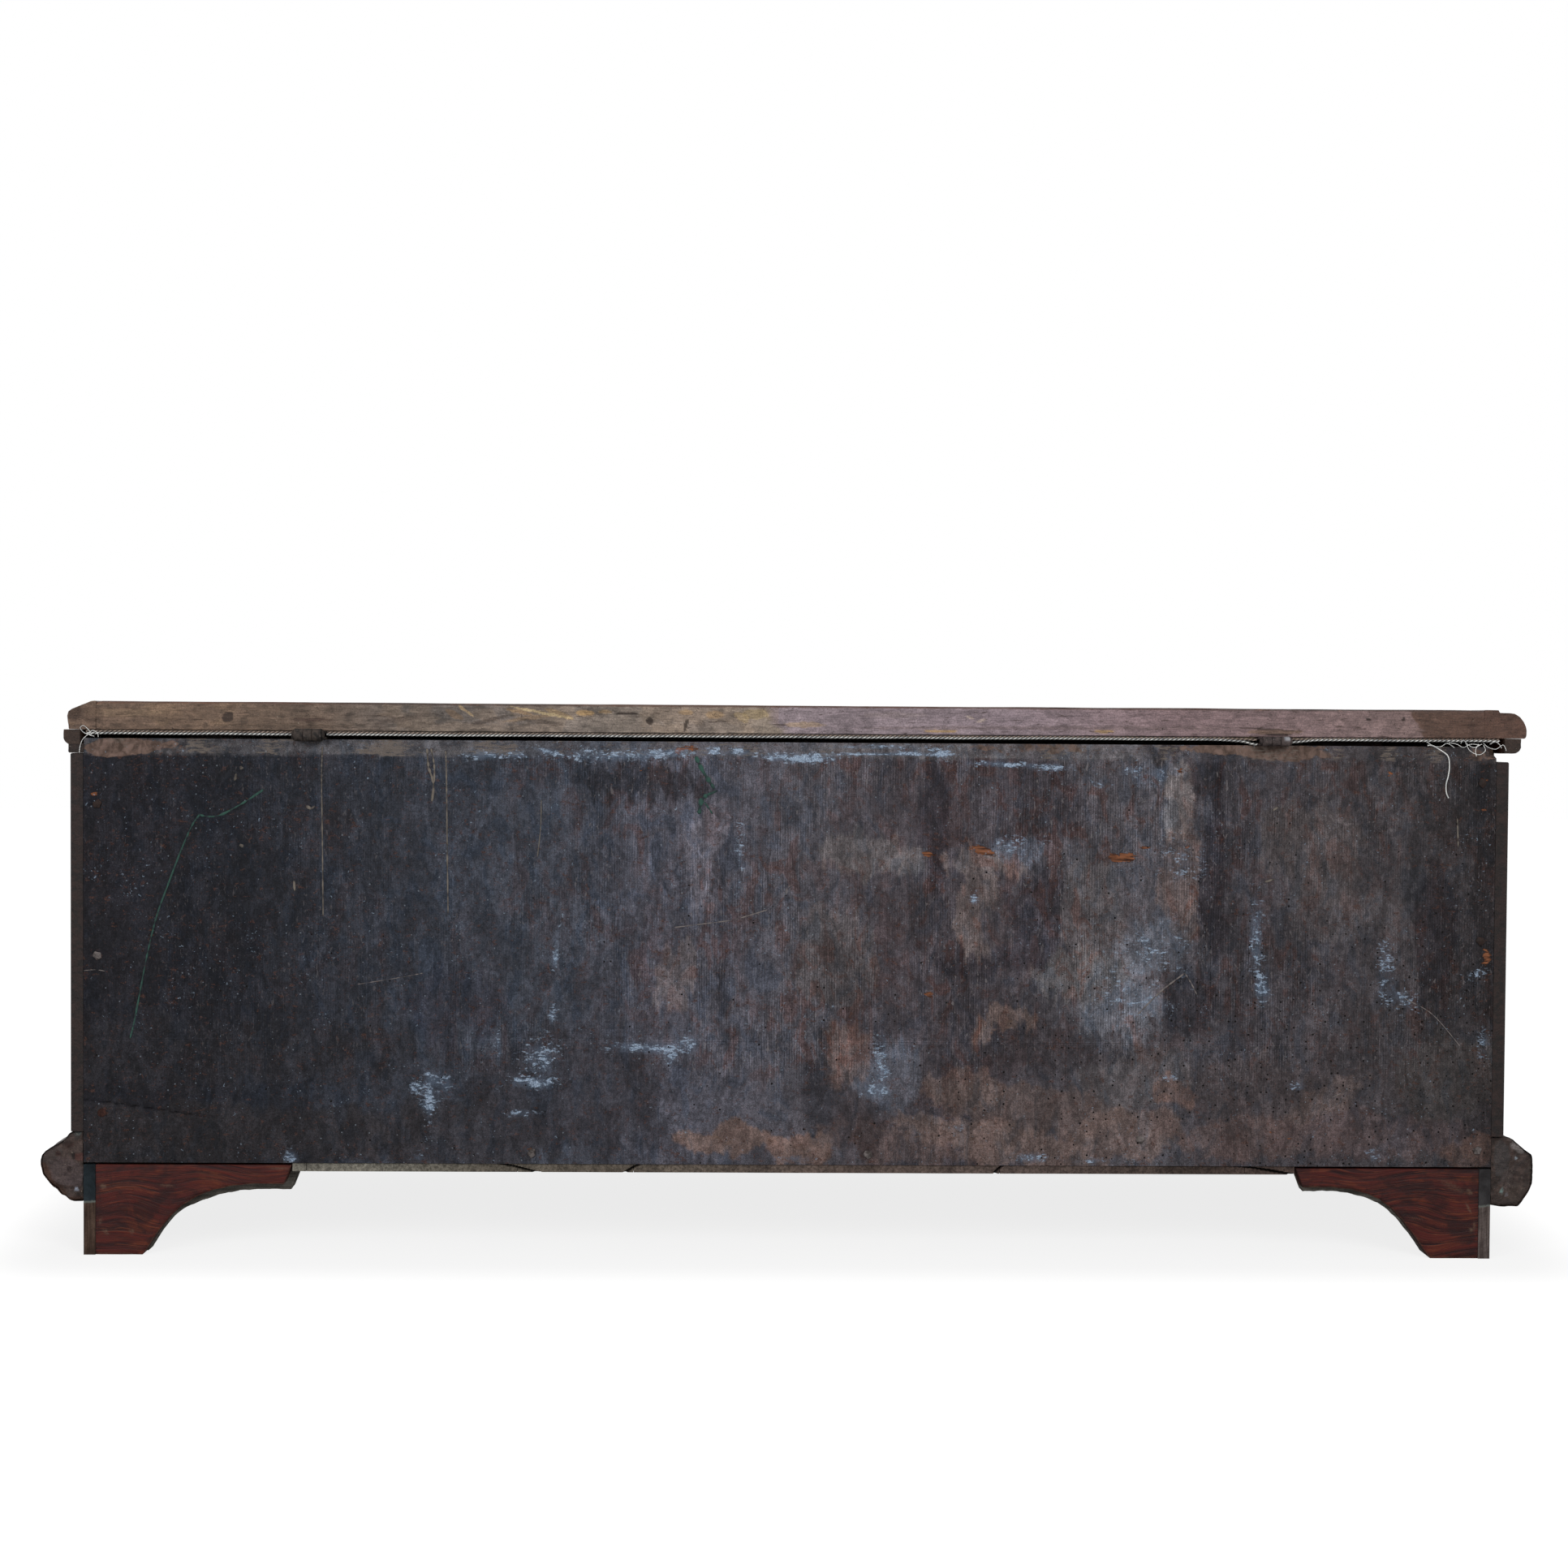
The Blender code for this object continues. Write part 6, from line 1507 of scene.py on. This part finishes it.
def bottom_board(node, finish):
    """A bottom board as a section carried along x, whose tongue passes under the back between the feet; in its rear
    face the slanting open joints are cut back 5 mm and painted almost black, a painted shade inside them."""
    low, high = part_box(node)
    count = max(int((high.x - low.x) / 0.0012), 12)
    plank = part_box("back_plank_lower")[0]
    rest = plank.y - 0.0003
    left_tip, right_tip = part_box("rear_left_foot_back")[1].x + 0.0004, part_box("rear_right_foot_back")[0].x - 0.0004
    under = plank.z + LOWER_PLANK_RISE - 0.0003
    corners = ((high.y, low.z), (high.y, under), (rest, under), (rest, high.z), (low.y, high.z), (low.y, low.z))
    rings = carried(0, np.linspace(low.x, high.x, count), outline(corners, (12, 8, 6, 8, 4, 8)))
    x, y, z = np.moveaxis(rings, -1, 0)
    gap = np.zeros_like(x)
    for upper, lower in BOTTOM_JOINTS:
        (x_high, x_low), (z_high, z_low) = on_back(*np.array((upper, lower), float).T, y=high.y)
        middle = np.interp(z, (z_low, z_high), (x_low, x_high))
        gap = np.maximum(gap, eased(0.0012 + abs(x_high - x_low) * 0.09 - np.abs(x - middle), 0, 0.0012))
    # Painted shade: the open joints are darkened almost to black over the rear 6 mm
    tone = blended(seen_at(x, high.y, z)[0], BOTTOM_TONES) * (1 - 0.94 * gap * (y > high.y - 0.006))[..., None]
    cut = 0.0004 * (1 + rough(x, z * 4, 0.03, 115)) + 0.005 * gap
    rings[..., 1] = np.where(y > high.y - 0.001, y - cut, y)
    free = (x > left_tip) & (x < right_tip)
    rings[..., 1] = np.where(free, rings[..., 1], np.minimum(rings[..., 1], rest))
    between = eased(y, high.y - 0.017, high.y - 0.013) * free
    rings[..., 2] -= 0.0015 * between * eased(0.105 - z, 0, 0.005)
    piece(f"pine_{node}", [shell(rings, {"tone": tone})], CHEST, finish, (node,))


class CASSAPANCA_OT_case(Operator):
    """Finishes the front board, the end boards and the bottom boards, and wears the boards' rear edges"""

    bl_idname = "cassapanca.case"
    bl_label = "Chest Box"

    def execute(self, context):
        settings = context.scene.cassapanca_wood
        front = stained_walnut("stained walnut front", 0, settings)
        ends = stained_walnut("stained walnut ends", 1, settings, grimed_rear=True)
        bottom = bare_pine("grey pine bottom", "66635a", "a09c8f", 1, toned=True)
        dress(front, "front_board")
        dress(ends, "end_board_right", "end_board_left")
        for number in range(1, 7):
            bottom_board(f"bottom_board_{number}", bottom)
        dress(bare_pine("dark peg pine", "2c1d1a", "4a302a", 1), "back_peg")
        return {"FINISHED"}


# Ironwork

def turned(profile, sides, middle, axis, seed=0, dents=0.0):
    """Rings of a turned shape: each (place along the axis, radius) of the profile is a circle; noise dents it."""
    profile = np.array(profile, float)
    angle = np.linspace(0, 2 * math.pi, sides, endpoint=False)[None, :]
    place, radius = profile[:, :1] + 0 * angle, profile[:, 1:]
    slant = radius * np.cos(angle) + 0.5 * radius * np.sin(angle)
    radius = radius * (1 - dents * (1 + rough(place, slant, 0.006, seed)))
    flat = [radius * np.cos(angle), radius * np.sin(angle)]
    flat.insert(axis, place)
    return np.stack(flat, -1) + np.array(middle)


def barrel(low_x, high_x, middle, radius, seed):
    """One knuckle of a hinge: a cylinder along x with eased ends, slightly waisted and dented."""
    x = np.concatenate(((low_x,), np.linspace(low_x + 0.0007, high_x - 0.0007, 11), (high_x,)))
    share = np.linspace(-1, 1, len(x))
    r = radius * (1 - 0.03 * (1 - share ** 2))
    r[[0, -1]] -= 0.0007
    return turned(np.stack((x, r), -1), 26, (0, *middle), 0, seed, 0.035)


def leaf(low, high):
    """A hinge leaf's plate: an eased bar along x."""
    return carried(0, np.linspace(low[0], high[0], 26), eased_box(low[1:], high[1:], 0.0005, (3, 16, 3)))


LEAF_THICKNESS = 0.0025
LEAF_PLAY = 0.0003


def hinge(word, finish, girth=1.0, polish=0.0):
    """A butt hinge: two leaves, three knuckles turned along x and a pin with peened ends. The knuckles are as thick
    as the frame's times girth, and the one nearest -X may be polished by handling, with a painted glint near white
    on its upper half only, where the lamps' highlight falls."""
    lid_leaf, back_leaf, pin = (f"hinge_{word}_{part}" for part in ("lid_leaf", "back_leaf", "pin"))
    low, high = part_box(lid_leaf)
    pin_low, pin_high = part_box(pin)
    middle = ((pin_low.y + pin_high.y) / 2, (pin_low.z + pin_high.z) / 2)
    radius = (high.y - middle[0]) * girth
    inset = pin_high.x - high.x
    third = (high.x - low.x - 2 * inset) / 3
    joints = (low.x + inset, low.x + inset + third, high.x - inset - third, high.x - inset)
    back_low, back_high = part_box(back_leaf)
    top, under = LID_LOW - LEAF_PLAY, BACK_TOP + LEAF_PLAY
    lid_plate = leaf((low.x, low.y, top - LEAF_THICKNESS), (high.x, middle[0] - radius + 0.0035, top))
    arm = carried(
        0, np.linspace(joints[1] + 0.0004, joints[2] - 0.0004, 10),
        eased_box((middle[0] - radius - 0.0015, top - LEAF_THICKNESS), (middle[0], top), 0.0004),
    )
    piece(f"forged_{lid_leaf}", [shell(rings) for rings in (
        lid_plate, arm, barrel(joints[1] + 0.0004, joints[2] - 0.0004, middle, radius - 0.0002, 143),
    )], LID, finish, (lid_leaf,), 35)
    back_plate = leaf((back_low.x, back_low.y, under), (back_high.x, BACK_Y - 0.0002, under + LEAF_THICKNESS))
    shells = [shell(back_plate, {"polish": 0})]
    for start, end in ((joints[0], joints[1]), (joints[2], joints[3])):
        bar = carried(
            0, np.linspace(start, end, 8),
            eased_box((BACK_Y - 0.003, under), (middle[0], under + LEAF_THICKNESS), 0.0004),
        )
        knuckle = barrel(start, end, middle, radius - 0.0002, 147)
        # Polished wear, painted near white on the upper half only: a painted glint where the lamps' highlight falls
        rubbed = polish * eased(joints[1] - knuckle[..., 0], 0.002, 0.006) * eased(
            knuckle[..., 2] - middle[1], -0.001, 0.003,
        )
        shells += [shell(bar, {"polish": 0}), shell(knuckle, {"polish": rubbed})]
    piece(f"forged_{back_leaf}", shells, CHEST, finish, (back_leaf,), 35)
    heads = []
    for end, out in ((low.x, -1), (high.x, 1)):
        inner = end - out * 0.003
        peened = (
            (inner, 0.0055 * girth), (inner + out * 0.0012, 0.0062 * girth), (inner + out * 0.0024, 0.0048 * girth),
            (end, 0.0018),
        )
        heads.append(turned(peened, 18, (0, *middle), 0, 151, 0.05))
    shaft = turned(((joints[0], 0.0034), (joints[3], 0.0034)), 12, (0, *middle), 0)
    piece(f"forged_{pin}", [shell(rings) for rings in (shaft, *heads)], CHEST, finish, (pin,), 35)


SHANK_LENGTH = 0.036


def rose_head(x, z, radius, crown, facets, seed):
    """A forged nail's head: a low pyramid of hammered facets over a square shank, drawn out to a blunt point."""
    spin = np.random.default_rng(seed).random() * 2
    count = 30
    angle = np.linspace(0, 2 * math.pi, count, endpoint=False)
    facet = np.cos(math.pi / facets) / np.cos((angle + spin) % (2 * math.pi / facets) - math.pi / facets)
    uneven = 1 + 0.09 * np.sin(angle * 2 + spin * 3) + 0.05 * np.sin(angle * 3 + spin)
    square = 0.7071 / np.maximum(np.abs(np.cos(angle)), np.abs(np.sin(angle)))
    hammered = facet * uneven
    profile = (
        (-SHANK_LENGTH, 0.0005 * square), (-0.02, 0.0014 * square), (-0.0008, 0.0017 * square),
        (0.0001, 0.0018 * square), (0.0002, radius * 0.9 * hammered), (0.0006, radius * 1.0 * hammered),
        (0.0011, radius * 0.93 * hammered), (0.0017, radius * 0.55 * facet), (crown, radius * 0.16 * facet),
    )
    rings = [np.stack((r * np.cos(angle), np.full(count, rise), r * np.sin(angle)), -1) for rise, r in profile]
    return np.stack(rings) + np.array((x, BACK_Y, z))


# The nails whose heads lie under grime and rust
GRIMED_NAILS = (2, 3, 5)


class CASSAPANCA_OT_ironwork(Operator):
    """Builds the two hinges and the back's eight forged nails and finishes the lock"""

    bl_idname = "cassapanca.ironwork"
    bl_label = "Hinges and Nails"

    def execute(self, context):
        wood, trim = context.scene.cassapanca_wood, context.scene.cassapanca_trim
        iron = rusted_iron("rusted forged iron", "1c1918", wood.rust_colour)
        grimed = rusted_iron("grimed forged iron", "1f1917", "30211c", 0.1)
        nail_iron = rusted_iron("dusty nail iron", "37302e", "7d7573")
        hinge("right", iron)
        hinge("left", rusted_iron("dusty forged iron", "2b2424", "5a4f4d"), 0.76, 0.5)
        for number in range(1, 9):
            node = f"back_nail_{number}"
            low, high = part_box(node)
            x, z = (low.x + high.x) / 2, (low.z + high.z) / 2
            radius, crown = (high.x - low.x) / 2 * 0.93, high.y - BACK_Y - 0.0001
            rings = rose_head(x, z, radius, crown, trim.nail_facets, 160 + number)
            shank = rings[:3, :, 1]
            rings[:3, :, 1] = BACK_Y + (shank - BACK_Y) * (high.y - low.y - 0.004) / SHANK_LENGTH
            look = grimed if number in GRIMED_NAILS else nail_iron
            piece(f"forged_{node}", [shell(rings)], CHEST, look, (node,), 25)
        dress(iron, "lock_case", "lock_bolt", "lock_staple", "lock_escutcheon")
        return {"FINISHED"}


# Dried and drawn lines on the back

# Each kind of line's light and dark colours, then its lines: half width in millimetres and the (across, down)
# places that the line runs through
DRIED_LINES = {
    "drip": ("7d756c", "4a4541", (
        (0.75, (397, 920), (396, 960), (397, 1030), (398, 1129)),
        (1.3, (526, 922), (528, 945), (534, 965), (532, 988)), (1.0, (531, 922), (535, 945), (534, 976)),
        (0.85, (549, 925), (550, 960), (551, 1050), (552, 1126)), (0.5, (667, 985), (666, 1020), (662, 1057)),
        (2.6, (296, 944), (298, 948)), (2.0, (291, 953), (289, 962)), (1.7, (377, 993), (383, 996), (388, 993)),
        (2.6, (295, 1041), (300, 1043)), (1.2, (362, 1085), (363, 1098)), (1.0, (1568, 999), (1576, 994)),
        (1.0, (1558, 1087), (1572, 1083)), (0.8, (1796, 1008), (1797, 1045)),
    )),
    "chalk": ("38594f", "2a3134", (
        (1.1, (326, 972), (300, 989), (272, 1004), (255, 1006), (243, 1003)),
        (1.0, (247, 1002), (236, 1018), (222, 1050), (205, 1095), (195, 1122), (188, 1147), (180, 1182), (166, 1255),
         (160, 1280)),
        (2.2, (857, 932), (866, 950), (880, 972)), (2.4, (884, 974), (866, 984), (861, 1003)),
        (1.0, (868, 988), (878, 1003)),
    )),
    "scratch": ("857d7a", "4b4748", (
        (0.6, (830, 1143), (870, 1138), (905, 1133), (946, 1121)), (0.9, (1402, 1250), (1430, 1222), (1460, 1199)),
        (0.8, (1460, 1199), (1468, 1212), (1475, 1226)), (0.5, (1730, 1230), (1765, 1250), (1800, 1290)),
        (0.5, (440, 1213), (490, 1205), (522, 1199)), (0.5, (103, 1196), (118, 1195), (131, 1197)),
        (0.5, (1640, 1353), (1660, 1344), (1672, 1340)),
    )),
}


class CASSAPANCA_OT_dried(Operator):
    """Builds the dried drips, the green chalk line and the pale scratches that stand on the back"""

    bl_idname = "cassapanca.dried"
    bl_label = "Dried Drips and Chalk"

    def execute(self, context):
        for kind, (light, dark, lines) in DRIED_LINES.items():
            shells = [self.line(half, points) for half, *points in lines]
            piece(f"dried_{kind}_lines", shells, CHEST, dried_matter(f"dried {kind}", light, dark), sharp=60)
        return {"FINISHED"}

    def line(self, half, points):
        """A flat ribbon of oval section through the points, half a millimetre proud, swelling and thinning."""
        x, z = on_back(*np.array(points, float).T)
        corners = np.stack((x, np.full_like(x, BACK_Y - 0.0006), z), -1)
        count = max(int(np.linalg.norm(np.diff(corners, axis=0), axis=1).sum() / 0.0014), 8)
        path = eased_line(corners, count)
        along = np.linspace(0, 1, count)
        width = half / 1000 * (0.45 + 0.95 * lattice(along * count, x[0] * 90, 2.5, 171))
        width *= np.sqrt(np.clip(np.minimum(along, 1 - along) * count / 1.5, 0.15, 1))
        rings = tube(path, width, 8)
        rings[..., 1] = path[:, 1:2] + np.sign(rings[..., 1] - path[:, 1:2]) * np.minimum(
            np.abs(rings[..., 1] - path[:, 1:2]), 0.0007,
        )
        thin = 1 - np.clip(width / (half / 1000), 0, 1)
        return shell(rings, {"hollow": np.broadcast_to(thin[:, None] * 0.6, rings.shape[:2])})


# Stage

FLOOR_RADIUS = 14
FLOOR_GLOW = 0.62
LAMP_AIM = (0, 0, 0.3)
LAMP_SIZE = 1.8


def set_up(name, data, place, side, up, behind):
    """An object at a place, whose own x, y and z point along side, up and behind."""
    turn = Matrix([(*row, 0) for row in zip(side, up, behind)] + [(0, 0, 0, 1)])
    made = placed(name, data)
    made.matrix_world = Matrix.Translation(place) @ turn
    return made


def soft_lamp(name, place, power):
    """A disc of soft light at a place, square to the line from where it aims."""
    lamp = bpy.data.lights.new(name, "AREA")
    lamp.shape = "DISK"
    lamp.size = LAMP_SIZE
    lamp.energy = power
    behind = np.array(place, float) - np.array(LAMP_AIM, float)
    behind /= np.linalg.norm(behind)
    side = np.cross((0, 0, 1), behind)
    side /= np.linalg.norm(side)
    set_up(name, lamp, place, side, np.cross(behind, side), behind)


class CASSAPANCA_OT_stage(Operator):
    """Sets the camera, the pale floor, the white room and the two soft lamps"""

    bl_idname = "cassapanca.stage"
    bl_label = "Stage"

    def execute(self, context):
        settings = context.scene.cassapanca_stage
        scene = context.scene
        scene.view_settings.view_transform = "Standard"
        lens = bpy.data.cameras.new("view of the back")
        lens.lens = CAMERA_LENS_MM
        lens.sensor_width = CAMERA_SENSOR_MM
        right, up, ahead = camera_axes()
        scene.camera = set_up("view of the back", lens, CAMERA_PLACE, right, up, -ahead)
        self.floor(settings)
        self.room(scene, settings)
        soft_lamp("main lamp", (-1.3, 3.4, 2.3), settings.key_power)
        soft_lamp("fill lamp", (1.8, 3.0, 1.5), settings.fill_power)
        return {"FINISHED"}

    def floor(self, settings):
        """A flat matt disc that keeps the chest's shadow; the camera also sees a plain white in it, weaker next to the
        chest and full from a hand's breadth round it: a painted shadow round the chest."""
        made, node = new_finish("plain pale floor")
        beyond = node("vector", node("place"), operation="ABSOLUTE")
        beyond = node("vector", beyond, (PLANK_HALF, BACK_Y, 0), operation="SUBTRACT")
        beyond = node("vector", beyond, (0, 0, 0), operation="MAXIMUM")
        beyond = node("vector", beyond, out="Value", operation="LENGTH")
        # Painted shadow: the white is 0.3 weaker up to 3 cm from the chest and reaches full strength 22 cm out
        strength = node("range", beyond, 0.03, 0.22, settings.floor_white, settings.floor_white + 0.3)
        share = node("times", node("ray")["Is Camera Ray"], FLOOR_GLOW)
        node("surface", node("either", share, node("matt", settings.floor_colour), node("glow", (1, 1, 1), strength)))
        angle = np.linspace(0, 2 * math.pi, 64, endpoint=False)
        rim = np.stack((FLOOR_RADIUS * np.cos(angle), FLOOR_RADIUS * np.sin(angle), angle * 0), -1)
        mesh = bpy.data.meshes.new("floor")
        mesh.from_pydata(rim.tolist(), [], [list(range(len(rim)))])
        mesh.materials.append(made)
        placed("floor", mesh)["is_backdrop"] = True

    def room(self, scene, settings):
        """Even light from all round; the camera and reflections see it as plain white."""
        world = bpy.data.worlds.new("white room")
        world.use_nodes = True
        world.node_tree.nodes.clear()
        node = partial(add, world.node_tree)
        ray = node("ray")
        seen = node("largest", ray["Is Camera Ray"], ray["Is Glossy Ray"], ray["Is Transmission Ray"])
        node("world", node("sky", (1, 1, 1), node("range", seen, 0, 1, settings.sky_strength, 1.0)))
        scene.world = world


# Panel and registration

PIECE_OPERATORS = (
    CASSAPANCA_OT_back, CASSAPANCA_OT_case, CASSAPANCA_OT_base, CASSAPANCA_OT_feet, CASSAPANCA_OT_lid,
    CASSAPANCA_OT_lining, CASSAPANCA_OT_braid, CASSAPANCA_OT_ironwork, CASSAPANCA_OT_dried,
)
SETTINGS = {
    "cassapanca_back": CassapancaBack, "cassapanca_wood": CassapancaWood, "cassapanca_trim": CassapancaTrim,
    "cassapanca_stage": CassapancaStage,
}


class CASSAPANCA_PT_sidebar(Panel):
    """Lists the pieces' operators and the settings"""

    bl_label = "Cassapanca"
    bl_idname = "CASSAPANCA_PT_sidebar"
    bl_space_type = "VIEW_3D"
    bl_region_type = "UI"
    bl_category = "Cassapanca"

    def draw(self, context):
        layout = self.layout
        for operator in (CASSAPANCA_OT_stage, *PIECE_OPERATORS):
            layout.operator(operator.bl_idname)
        for name, group in SETTINGS.items():
            box = layout.box()
            for key in group.__annotations__:
                box.prop(getattr(context.scene, name), key)


CLASSES = (*SETTINGS.values(), CASSAPANCA_OT_stage, *PIECE_OPERATORS, CASSAPANCA_PT_sidebar)


def register():
    """Makes the classes and each group of settings known to Blender."""
    for kind in CLASSES:
        bpy.utils.register_class(kind)
    for name, group in SETTINGS.items():
        setattr(bpy.types.Scene, name, PointerProperty(type=group))


def unregister():
    """Takes the settings and the classes away again."""
    for name in SETTINGS:
        delattr(bpy.types.Scene, name)
    for kind in reversed(CLASSES):
        bpy.utils.unregister_class(kind)


def main():
    """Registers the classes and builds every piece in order."""
    register()
    for operator in (CASSAPANCA_OT_stage, *PIECE_OPERATORS):
        group, name = operator.bl_idname.split(".")
        getattr(getattr(bpy.ops, group), name)()
    sizes = {"cad": CAD_BOUNDS, "visual": [list(corner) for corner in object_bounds()]}


if __name__ == "__main__":
    main()
